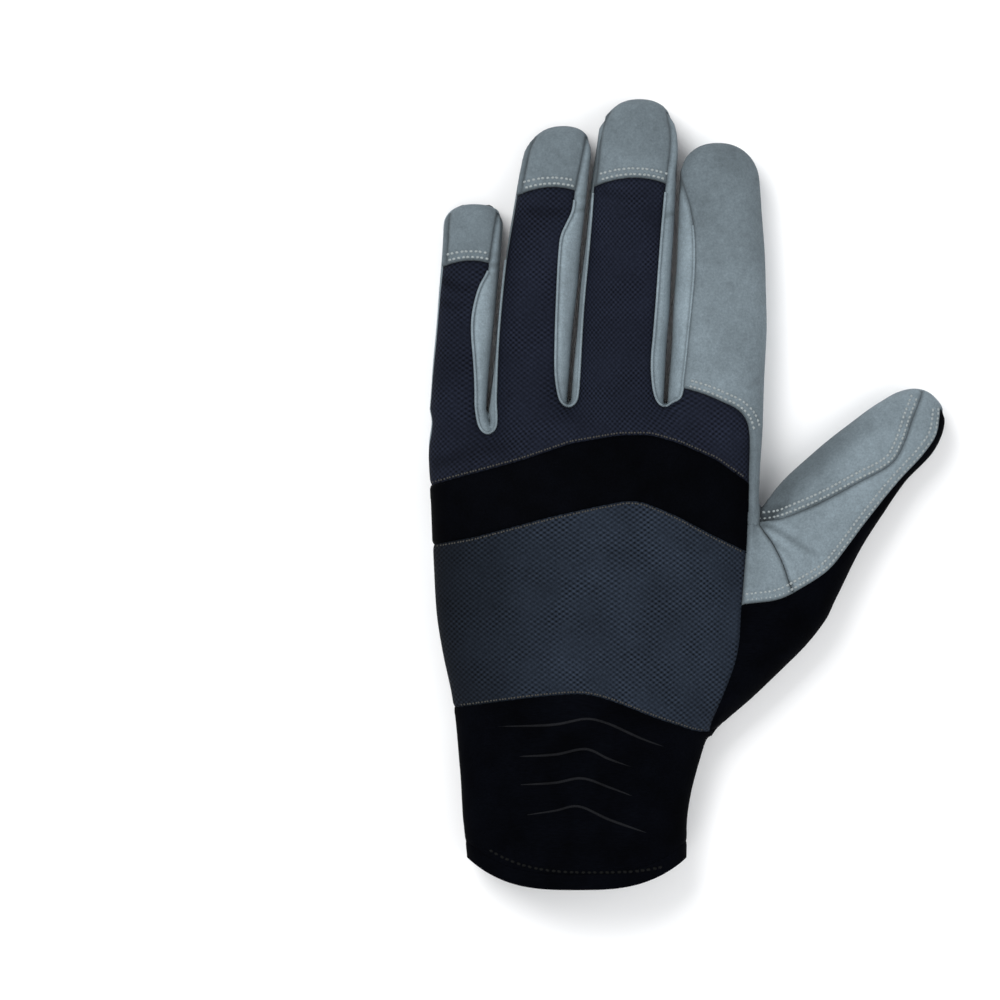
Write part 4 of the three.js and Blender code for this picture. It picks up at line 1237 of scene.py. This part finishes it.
def plain_cloth(name, colour, roughness, gloss, grain=0.0004, depth=0.00012, stretch=1.0):
    """Smooth dark fabric with a fine grain, drawn out across the glove by stretch."""
    finish = Finish(name)
    drift = finish.range(finish.noise(0.012, 3.0), 0.3, 0.7, 0.6, 1.4)
    mapped = finish.node("ShaderNodeMapping", {0: finish.place(), "Scale": (1 / stretch, 1.0, 1.0)})
    weave = finish.noise(grain, 3.0, 0.6, mapped.outputs[0])
    tone = finish.shaded(colour, finish.times(drift, finish.range(weave, 0.3, 0.7, 0.7, 1.35)))
    finish.set(base_color=tone, roughness=roughness, specular_ior_level=gloss)
    finish.set(normal=finish.bump(weave, depth, 0.7))
    return finish.material


def silver_print(name, colour):
    """Metallic ink that is paler in broad streaks."""
    finish = Finish(name)
    streak = finish.range(finish.noise(0.02, 1.0), 0.3, 0.7)
    finish.set(base_color=finish.mix(streak, colour, scaled(colour, 1.5)), roughness=0.35, metallic=0.6)
    finish.set(normal=finish.bump(finish.noise(0.0006, 2.0), 0.00005, 0.4))
    return finish.material


def thread_finish(name, colour):
    """Sewing thread, paler and darker along its twist."""
    finish = Finish(name)
    twist = finish.range(finish.noise(0.0004, 1.0), 0.3, 0.7, 0.8, 1.1)
    finish.set(base_color=finish.shaded(colour, twist), roughness=0.7, specular_ior_level=0.1)
    return finish.material


# Each finish: how it is made, its material's name, the colour it takes, how much brighter it is
# than that colour, and what else its maker needs
FINISHES = {
    "leather": (suede, "grey_leather", "leather", 1.0),
    "index_leather": (
        suede, "index_leather", "leather", 1.3, 0.5,
        ((1, 0.03, 0.11, 1.0, 0.7), (1, -0.025, 0.0, 0.93, 1.0)),
    ),
    # The strips between the fingers darken towards the floor: painted shade in the gaps between the fingers
    "strip_leather": (suede, "strip_leather", "leather", 1.75, 0.5, ((2, 0.004, 0.015, 0.4, 1.0),)),
    # The inner leather of the thumb darkens towards the web: painted shade
    "thumb_leather": (suede, "thumb_leather", "leather", 1.35, 0.5, ((0, 0.025, 0.075, 0.85, 1.05),)),
    "roll": (suede, "rolled_edge", "leather", 1.6, 0.0),
    "pale_leather": (suede, "pale_leather", "leather", 1.45),
    "navy": (dotted_mesh, "navy_mesh", "navy", 1.0, 0.85, 0.0022, 0.0016, 0.0001, 0.9),
    "slate": (dotted_mesh, "slate_mesh", "slate", 1.0, 0.92, 0.0024, 0.0016, 0.00016, 0.22),
    "band": (plain_cloth, "band_fabric", "cloth", 0.8, 0.7, 0.012, 0.0006, 0.00006),
    "cuff": (plain_cloth, "cuff_fabric", "cloth", 1.0, 0.8, 0.012, 0.0004, 0.0001, 6.0),
    # The raised lines are a lighter black than the cuff: painted highlight for the light they catch
    "ridge": (plain_cloth, "ridge_print", "ridge", 1.0, 0.7, 0.05),
    "patch": (suede, "black_leather", "patch", 1.0, 0.2),
    "strap": (plain_cloth, "strap_face", "strap", 1.0, 0.45, 0.2),
    "silver": (silver_print, "silver_print", "silver", 1.0),
    "thread": (thread_finish, "pale_thread", "thread", 1.0),
    "cream_thread": (thread_finish, "cream_thread", "cream", 1.0),
    "dim_thread": (thread_finish, "dim_thread", "thread", 0.007),
}


def finish_named(name):
    """The finish of that name, made when it is first asked for."""
    make, title, key, brightness, *settings = FINISHES[name]
    made = bpy.data.materials.get(title)
    if made is None:
        colour = tuple(getattr(bpy.context.scene.glove_colours, key))
        made = make(title, scaled(colour, brightness), *settings)
    return made


# Soft folds pressed into the panels, whose depth also darkens the colour as painted shade:
# # lines in the pattern's millimetres, depth and width
THUMB_FOLDS = [
    ([(51.5, 115.6), (57.8, 113.0), (62.7, 109.9), (66.9, 107.1), (71.0, 105.3)], 0.55, 1.1),
    ([(52.0, 115.8), (60.0, 116.2), (68.0, 117.5)], 0.25, 1.2),
    ([(56.0, 110.0), (60.0, 106.5), (64.0, 101.5)], 0.3, 1.0),
]
WEB_FOLDS = [
    ([(50.4, 115.5), (50.2, 111.0), (50.8, 106.0)], 0.3, 1.2),
]
# The broad first fold paints the shade along the inner side of the thumb, darkest near its edge
INNER_FOLDS = [
    (
        [
            (50.5, 117.0), (54.0, 120.0), (60.2, 127.2), (66.5, 133.5), (73.2, 139.0), (80.0, 144.3),
            (88.0, 149.5),
        ],
        0.6,
        4.6,
    ),
    ([(52.0, 117.0), (56.0, 119.0), (62.0, 123.0)], 0.5, 1.6),
]
STRIP_FOLDS = [
    ([(-29.2, 198.2), (-34.0, 197.0)], 0.5, 1.0),
    ([(-29.0, 200.6), (-34.0, 200.0)], 0.35, 0.8),
    ([(0.5, 216.0), (-7.0, 214.5)], 0.5, 1.0),
    ([(0.5, 219.5), (-7.0, 219.0)], 0.35, 0.8),
    ([(25.5, 214.0), (19.0, 212.5)], 0.4, 1.0),
]
MESH_FOLDS = [
    ([(-49.5, 193.0), (-43.0, 190.0), (-37.0, 191.5)], 0.5, 1.8),
    ([(-50.0, 186.0), (-44.0, 184.5), (-39.0, 186.5)], 0.35, 1.6),
    ([(-22.0, 215.0), (-14.0, 213.5), (-6.0, 215.5)], 0.35, 1.8),
    ([(1.0, 221.0), (10.0, 219.0), (20.0, 221.0)], 0.3, 1.8),
    ([(-52.0, 134.0), (-40.0, 138.0), (-27.0, 141.0)], 0.4, 2.6),
]
PANEL_FOLDS = {
    "thumb_back": THUMB_FOLDS,
    "web_panel": WEB_FOLDS,
    "thumb_inner": INNER_FOLDS,
    "back_upper": MESH_FOLDS,
    "fourchette_pinky_ring": STRIP_FOLDS,
    "fourchette_ring_middle": STRIP_FOLDS,
    "fourchette_middle_index": STRIP_FOLDS,
}

# How each panel is made up: finish, slot, lift, sink, width of its seam
PANELS = {
    "cuff_binding": ("cuff", "black", 0.0, 0.15, 1.0),
    "cuff": ("cuff", "black", 0.0, 0.2, 1.4),
    "side_gusset": ("cuff", "black", 0.0, 0.5, 1.8),
    "back_lower": ("slate", "slate", 0.0, 0.4, 1.6),
    "back_upper": ("navy", "navy", 0.0, 0.4, 1.6),
    "knuckle_band": ("band", "black", 0.2, 0.3, 1.2),
    "palm": ("pale_leather", "leather", 0.0, 0.6, 2.0),
    "index_back": ("index_leather", "leather", 0.5, 0.4, 1.5),
    "web_panel": ("index_leather", "leather", 0.5, 0.4, 1.5),
    "thumb_back": ("pale_leather", "leather", 0.3, 0.6, 2.0),
    "thumb_inner": ("thumb_leather", "leather", 0.0, 0.6, 2.0),
}
CAP_MAKE = ("leather", "leather", 0.5, 0.3, 1.4)
STRIP_MAKE = ("strip_leather", "leather", 0.0, 0.6, 2.0)
PANELS |= {f"tip_cap_{name}": CAP_MAKE for name in CAPS}
PANELS |= {f"fourchette_{left}_{right}": STRIP_MAKE for left, right, _ in CROTCHES}


def panel(name):
    """The panel of that name, cut from the skin and made up as its row says."""
    sizes = bpy.context.scene.glove_sizes
    _, panels = skin_panels(sizes.grid / MM)
    return add_panel(name, panels[name], *PANELS[name], sizes.wall)


# Adjustable sizes and colours
class GloveSizes(bpy.types.PropertyGroup):
    grid: bpy.props.FloatProperty(
        name="Grid", description="Spacing of the skin's points", default=0.0008, unit="LENGTH"
    )
    wall: bpy.props.FloatProperty(
        name="Wall", description="Thickness of leather and cloth", default=0.0012, unit="LENGTH"
    )
    stitch_pitch: bpy.props.FloatProperty(
        name="Stitch pitch", description="Distance from stitch to stitch", default=0.00145, unit="LENGTH"
    )
    stitch_length: bpy.props.FloatProperty(
        name="Stitch length", description="Length of one stitch", default=0.00115, unit="LENGTH"
    )
    thread: bpy.props.FloatProperty(
        name="Thread", description="Radius of the sewing thread", default=0.00043, unit="LENGTH"
    )


def colour_property(name, description, default):
    return bpy.props.FloatVectorProperty(
        name=name, description=description, subtype="COLOR", default=default, min=0.0, max=1.0
    )


class GloveColours(bpy.types.PropertyGroup):
    leather: colour_property("Leather", "Colour of the grey leather", (0.114, 0.141, 0.157))
    navy: colour_property("Upper mesh", "Colour of the mesh over the fingers", (0.0062, 0.0078, 0.0138))
    slate: colour_property("Lower mesh", "Colour of the mesh over the wrist", (0.0102, 0.014, 0.0212))
    cloth: colour_property("Stretch fabric", "Colour of the black fabric", (0.0008, 0.001, 0.0018))
    # The ridges' colour is lighter than the cloth's as a painted highlight
    ridge: colour_property("Ridges", "Colour of the raised lines on the cuff", (0.00646, 0.0068, 0.00816))
    patch: colour_property("Patches", "Colour of the palm patches", (0.0016, 0.0018, 0.0023))
    strap: colour_property("Strap", "Colour of the wrist strap", (0.0022, 0.0029, 0.0036))
    silver: colour_property("Print", "Colour of the printed stripes", (0.26, 0.31, 0.366))
    thread: colour_property("Thread", "Colour of the stitches on leather", (0.27, 0.3, 0.305))
    cream: colour_property("Seam thread", "Colour of the stitches on mesh", (0.0513, 0.0495, 0.044225))
    floor: colour_property("Floor", "Colour of the floor", (0.93, 0.93, 0.93))


RIDGE_RADIUS, RIDGE_SINK = 0.45, 0.1


class GLOVE_OT_cuff(bpy.types.Operator):
    """Black stretch cuff, its hem tape and the raised lines on its back"""

    bl_idname = "glove.cuff"
    bl_label = "Cuff"

    def execute(self, context):
        panel("cuff_binding")
        panel("cuff")
        parts = []
        for points in CUFF_RIDGES:
            line = resampled(curved(points), 0.8)[0]
            places, _ = on_skin(line)
            out = gradient(form, places, 0.2)
            t = np.linspace(0, 1, len(line))
            radius = RIDGE_RADIUS * np.clip(np.minimum(t, 1 - t) * 4, 0.1, 1) ** 0.5
            parts.append(tube(places - out * RIDGE_SINK, radius, out))
        new_piece("cuff_ridges", *merged(parts), finish_named("ridge"), "black")
        return {"FINISHED"}


class GLOVE_OT_back(bpy.types.Operator):
    """Mesh panels and the knuckle band on the back of the hand"""

    bl_idname = "glove.back"
    bl_label = "Back of the hand"

    def execute(self, context):
        for name in ("back_lower", "back_upper", "knuckle_band"):
            panel(name)
        return {"FINISHED"}


ROLL_RADIUS, ROLL_SINK, ROLL_GAP = 0.42, 0.15, 1.0


class GLOVE_OT_leather_back(bpy.types.Operator):
    """Leather over the forefinger, the fingertip caps and the strips between the fingers"""

    bl_idname = "glove.leather_back"
    bl_label = "Leather of the back"

    def execute(self, context):
        panel("index_back")
        for name in CAPS:
            panel(f"tip_cap_{name}")
        for left, right, drop in CROTCHES:
            panel(f"fourchette_{left}_{right}")
            line = eased(strip_outlines(left, right, drop)[0][:-2], 2.0)
            ends = [(1 - CAPS.get(name, BARE_TIP)) * FINGERS[name]["length"] for name in (left, right)]
            ahead = line[:, 1] - FINGER_LINE
            going_down = np.arange(len(line)) < np.argmin(ahead)
            line = line[ahead < np.where(going_down, *ends) - ROLL_GAP]
            places, hit = on_skin(line)
            out = gradient(form, places[hit], 0.2)
            roll = tube(places[hit] - out * ROLL_SINK, ROLL_RADIUS, out)
            new_piece(f"piping_{left}_{right}", *roll, finish_named("roll"), "leather")
        return {"FINISHED"}


class GLOVE_OT_thumb(bpy.types.Operator):
    """Leather round the thumb and the black stretch gusset down its outer side"""

    bl_idname = "glove.thumb"
    bl_label = "Thumb"

    def execute(self, context):
        for name in ("web_panel", "thumb_back", "thumb_inner", "side_gusset"):
            panel(name)
        return {"FINISHED"}


class GLOVE_OT_palm(bpy.types.Operator):
    """Leather of the palm side"""

    bl_idname = "glove.palm"
    bl_label = "Palm"

    def execute(self, context):
        panel("palm")
        return {"FINISHED"}


def patch_outlines():
    """Outlines of the patches. A fingertip patch follows the finger's sides to a rounded end, a
    band has four corners, and a palm patch is a closed curve."""
    outlines = {}
    for name, share in TIP_PATCHES.items():
        along = 1 - share * np.linspace(1, PATCH_TIP, 14) ** 2
        across = np.full(len(along), PATCH_REACH)
        right, left = (on_finger(FINGERS[name], np.stack([along, u], axis=1)) for u in (across, -across))
        outlines[f"patch_tip_{name}"] = joined(right, left[::-1])
    for name, ends in FINGER_BANDS.items():
        near, away = (1 - end for end in ends)
        corners = [(near, -PATCH_REACH), (away, -PATCH_REACH), (away, PATCH_REACH), (near, PATCH_REACH)]
        outlines[f"patch_band_{name}"] = on_finger(FINGERS[name], corners)
    outlines["patch_knuckle"] = curved(on_palm(KNUCKLE_PATCH), 6, closed=True)
    outlines["patch_heel"] = curved(on_palm(HEEL_PATCH), 6, closed=True)
    return outlines


# How far the layers on the palm side start and end above the skin, and their round edges
PATCH_RISE = (0.2, 1.15)
STRAP_RISE = (0.3, 1.7)
PRINT_RISE = (1.6, 1.95)
LAYER_RIM, GROOVE_DEPTH, GROOVE_WIDTH = 1.0, 0.25, 0.45
UNDER_SLOPE, UNDER_START = 6.0, 0.6  # a layer ends where the skin turns up from the underside
SIDE_RISE, SIDE_RUN = 0.1, 5.0  # a layer thins to that rise over that height below the split


def add_layer(name, outline, level, low, high, finish, slot, grooves=()):
    """A layer on the palm side over an outline, from low to high above the skin, with rounded
    edges, drawn in along its rows of stitches."""
    sizes = bpy.context.scene.glove_sizes
    whole, _ = skin_panels(sizes.grid / MM)
    facing = -UNDER_SLOPE * whole.out[:, 2] - UNDER_START
    under = np.minimum(level - whole.points[:, 2], facing)
    layer = kept(whole, np.minimum(depth_inside(whole.points[:, :2], outline), under))
    edge = layer.edge
    gone = np.clip(1 - edge / LAYER_RIM, 0, 1)
    rise = lerp(low + GROOVE_DEPTH, high, np.sqrt(1 - gone**2))
    for inset in grooves:
        rise -= GROOVE_DEPTH * np.exp(-(((edge - inset) / GROOVE_WIDTH) ** 2))
    rise = lerp(SIDE_RISE, rise, smooth((SPLIT + 0.5 - layer.points[:, 2]) / SIDE_RUN))
    points = layer.points + layer.out * rise[:, None]
    points[:, 2] = np.maximum(points[:, 2], 0.05)
    cloth = cloth_coordinates(points)
    piece = new_piece(name, points, layer.faces, finish_named(finish), slot, (name,), cloth, edge)
    return thicken(piece, (high - low) * MM * 0.8)


class GLOVE_OT_patches(bpy.types.Operator):
    """Black leather patches on the palm side"""

    bl_idname = "glove.patches"
    bl_label = "Patches"

    def execute(self, context):
        for name, outline in patch_outlines().items():
            add_layer(name, outline, PATCH_LEVEL, *PATCH_RISE, "patch", "black", PATCH_ROWS)
        return {"FINISHED"}


class GLOVE_OT_strap(bpy.types.Operator):
    """Wrist strap on the palm side and its silver stripes"""

    bl_idname = "glove.strap"
    bl_label = "Strap"

    def execute(self, context):
        add_layer("strap", on_palm(STRAP_OUTLINE), SPLIT, *STRAP_RISE, "strap", "black")
        for name, outline in STRIPES.items():
            add_layer(name, on_palm(outline), PATCH_LEVEL, *PRINT_RISE, "silver", "silver")
        return {"FINISHED"}


# Where rows of stitches start and end, in the pattern's millimetres across the palm. A cap's row
# starts at a share of the finger's half width.
TAIL_ROW = (28.5, 49.2)
BAND_ROW = (-52.0, 46.5)
WRIST_ROW = (-44.0, 34.0)
HEM_ROW = (-34.0, 21.0)
HEM_HALF = 38.0
HEM_STITCH = 5.6
CAP_ROW = -0.73


def between(line, low, high):
    """The stretch of a line whose x lies between two bounds."""
    return line[(line[:, 0] > low) & (line[:, 0] < high)]


def cap_edge(name):
    """The sewn stretch of the lower edge of a fingertip cap."""
    finger = FINGERS[name]
    across = np.linspace(CAP_ROW, FINGER_SEAMS[name]["right"][2][1] - 0.1, 24)
    rise = CAP_ARCH * finger["width"] / finger["length"] * (1 - across**2)
    return on_finger(finger, np.stack([1 - CAPS[name] + rise, across], axis=1))


def back_rows():
    """The rows of stitches on the back: name, thread, and for each seam its line, how far the
    rows lie to its left, the panel they lie on, how far they stand off it and how coarse the
    stitches are."""
    double, lift = (1.1, 2.9), 0.07
    caps = [(cap_edge(name), double, f"tip_cap_{name}", lift, 1.0) for name in CAPS]
    tail = between(curved(on_palm(BACK_EDGE[7:]))[::-1], *TAIL_ROW)
    thumb = [
        (curved(on_thumb(THUMB_SEAM[:-1])), double, "thumb_inner", lift, 1.0),
        (curved(on_thumb(GUSSET_TOP)), (1.3, 3.1), "thumb_back", lift, 1.0),
    ]
    bands = [
        (between(eased(on_palm(BAND_LOWER), 3), *BAND_ROW), (-0.8,), "back_lower", -0.05, 0.65),
        (between(eased(on_palm(BAND_UPPER), 3), *BAND_ROW), (0.8,), "back_upper", -0.05, 0.65),
        (between(curved(on_palm(WRIST_SEAM)), *WRIST_ROW), (0.8,), "back_lower", -0.05, 0.65),
    ]
    across = np.linspace(*HEM_ROW, 40)
    hem_line = np.stack([across, HEM_STITCH + palm_shift(0.0, across / HEM_HALF)], axis=1)
    hem = [(hem_line, (0.0,), None, 0.0, 1.3)]
    return [
        ("stitching_leather", "thread", [*caps, (tail, double, "index_back", lift, 1.0)]),
        ("stitching_thumb", "thread", thumb),
        ("stitching_mesh", "cream_thread", bands),
        ("stitching_cuff", "dim_thread", hem),
    ]


PALM_STITCH = (0.8, 1.3)  # how far the stitches stand off the skin, and how coarse they are


def palm_rows():
    """The rows of stitches on the palm patches, as on the back."""
    rows = []
    outlines = patch_outlines()
    for name in ("patch_knuckle", "patch_heel"):
        line = resampled(joined(outlines[name], outlines[name][:1]), 0.7)[0]
        turn = np.sum(line[:-1, 0] * line[1:, 1] - line[1:, 0] * line[:-1, 1])
        rows.append((line if turn > 0 else line[::-1], PATCH_ROWS, None, *PALM_STITCH))
    for name in TIP_PATCHES:
        outline = outlines[f"patch_tip_{name}"]
        rows.append((outline[[-1, 0]], PATCH_ROWS, None, *PALM_STITCH))
    for name in FINGER_BANDS:
        outline = outlines[f"patch_band_{name}"]
        rows += [(outline[ends], PATCH_ROWS, None, *PALM_STITCH) for ends in ([3, 0], [1, 2])]
    rows.append((curved(HEEL_ROW, closed=True), (0.0,), None, PALM_STITCH[0], 1.2))
    return rows


class GLOVE_OT_stitching(bpy.types.Operator):
    """Rows of stitches along the sewing lines of the back and of the palm side"""

    bl_idname = "glove.stitching"
    bl_label = "Stitching"

    def execute(self, context):
        sizes = context.scene.glove_sizes
        pitch, length, radius = (s / MM for s in (sizes.stitch_pitch, sizes.stitch_length, sizes.thread))
        for name, finish, rows in [*back_rows(), ("stitching_patches", "thread", palm_rows())]:
            upper = name != "stitching_patches"
            parts = []
            for line, insets, panel_name, lift, coarse in rows:
                for inset in insets:
                    plan = offset_line(line, inset)
                    size = (pitch * coarse, length * coarse, radius * coarse**0.5)
                    parts.append(thread_row(plan, inset, panel_name, lift, *size, upper))
            new_piece(name, *merged(parts), finish_named(finish))
        return {"FINISHED"}


# The stage in metres: floor, lamps (name, place, size, power), sky and the camera's view
FLOOR_HALF = 3.0
LAMPS = (
    ("key", (-0.6, 0.7, 1.1), 0.9, 16.0),
    ("fill", (0.9, -0.2, 1.0), 1.2, 8.0),
    ("low", (-0.2, -1.0, 0.7), 1.0, 5.0),
)
SKY_COLOUR = (0.95, 0.97, 1.0, 1.0)
SKY_LIGHT = 0.55
LENS, SENSOR = 400.0, 36.0
VIEW_MIDDLE = (-0.05924, -0.00184)
VIEW_HEIGHT = 0.015
VIEW_WIDTH = 0.31646


class GLOVE_OT_stage(bpy.types.Operator):
    """Pale floor, soft lights and the camera straight above"""

    bl_idname = "glove.stage"
    bl_label = "Stage"

    def execute(self, context):
        scene = context.scene
        floor_mesh = bpy.data.meshes.new("floor")
        corners = [(x * FLOOR_HALF, y * FLOOR_HALF, 0) for x, y in ((-1, -1), (1, -1), (1, 1), (-1, 1))]
        floor_mesh.from_pydata(corners, [], [(0, 1, 2, 3)])
        finish = Finish("floor_paint")
        finish.set(base_color=tuple(scene.glove_colours.floor), roughness=0.9, specular_ior_level=0.1)
        floor_mesh.materials.append(finish.material)
        floor = bpy.data.objects.new("floor", floor_mesh)
        scene.collection.objects.link(floor)
        for name, place, size, power in LAMPS:
            light = bpy.data.lights.new(name, "AREA")
            light.size = size
            light.energy = power
            lamp = bpy.data.objects.new(name, light)
            scene.collection.objects.link(lamp)
            lamp.location = place
            direction = -lamp.location
            lamp.rotation_euler = direction.to_track_quat("-Z", "Y").to_euler()
        world = bpy.data.worlds.new("studio")
        world.use_nodes = True
        sky = world.node_tree.nodes["Background"]
        sky.inputs[0].default_value = SKY_COLOUR
        sky.inputs[1].default_value = SKY_LIGHT
        scene.world = world
        scene.view_settings.view_transform = "Standard"
        camera = bpy.data.cameras.new("camera")
        camera.lens = LENS
        camera.sensor_width = SENSOR
        camera.clip_end = 10.0
        eye = bpy.data.objects.new("camera", camera)
        scene.collection.objects.link(eye)
        eye.location = (*VIEW_MIDDLE, VIEW_HEIGHT + VIEW_WIDTH * LENS / SENSOR)
        scene.camera = eye
        return {"FINISHED"}


class GLOVE_PT_panel(bpy.types.Panel):
    """Steps of the glove, in the order in which they are made"""

    bl_idname = "GLOVE_PT_panel"
    bl_label = "Mechanic glove"
    bl_space_type = "VIEW_3D"
    bl_region_type = "UI"
    bl_category = "Glove"

    def draw(self, context):
        for name in GloveSizes.__annotations__:
            self.layout.prop(context.scene.glove_sizes, name)
        for name in GloveColours.__annotations__:
            self.layout.prop(context.scene.glove_colours, name)
        for step in STEPS:
            self.layout.operator(step.bl_idname)


STEPS = (
    GLOVE_OT_cuff,
    GLOVE_OT_back,
    GLOVE_OT_leather_back,
    GLOVE_OT_thumb,
    GLOVE_OT_palm,
    GLOVE_OT_patches,
    GLOVE_OT_strap,
    GLOVE_OT_stitching,
    GLOVE_OT_stage,
)
CLASSES = (GloveSizes, GloveColours, *STEPS, GLOVE_PT_panel)


def register():
    for made in CLASSES:
        bpy.utils.register_class(made)
    bpy.types.Scene.glove_sizes = bpy.props.PointerProperty(type=GloveSizes)
    bpy.types.Scene.glove_colours = bpy.props.PointerProperty(type=GloveColours)


def unregister():
    del bpy.types.Scene.glove_colours
    del bpy.types.Scene.glove_sizes
    for made in reversed(CLASSES):
        bpy.utils.unregister_class(made)


def main():
    register()
    for step in STEPS:
        group, name = step.bl_idname.split(".")
        getattr(getattr(bpy.ops, group), name)()
    bpy.context.view_layer.update()


if __name__ == "__main__":
    main()
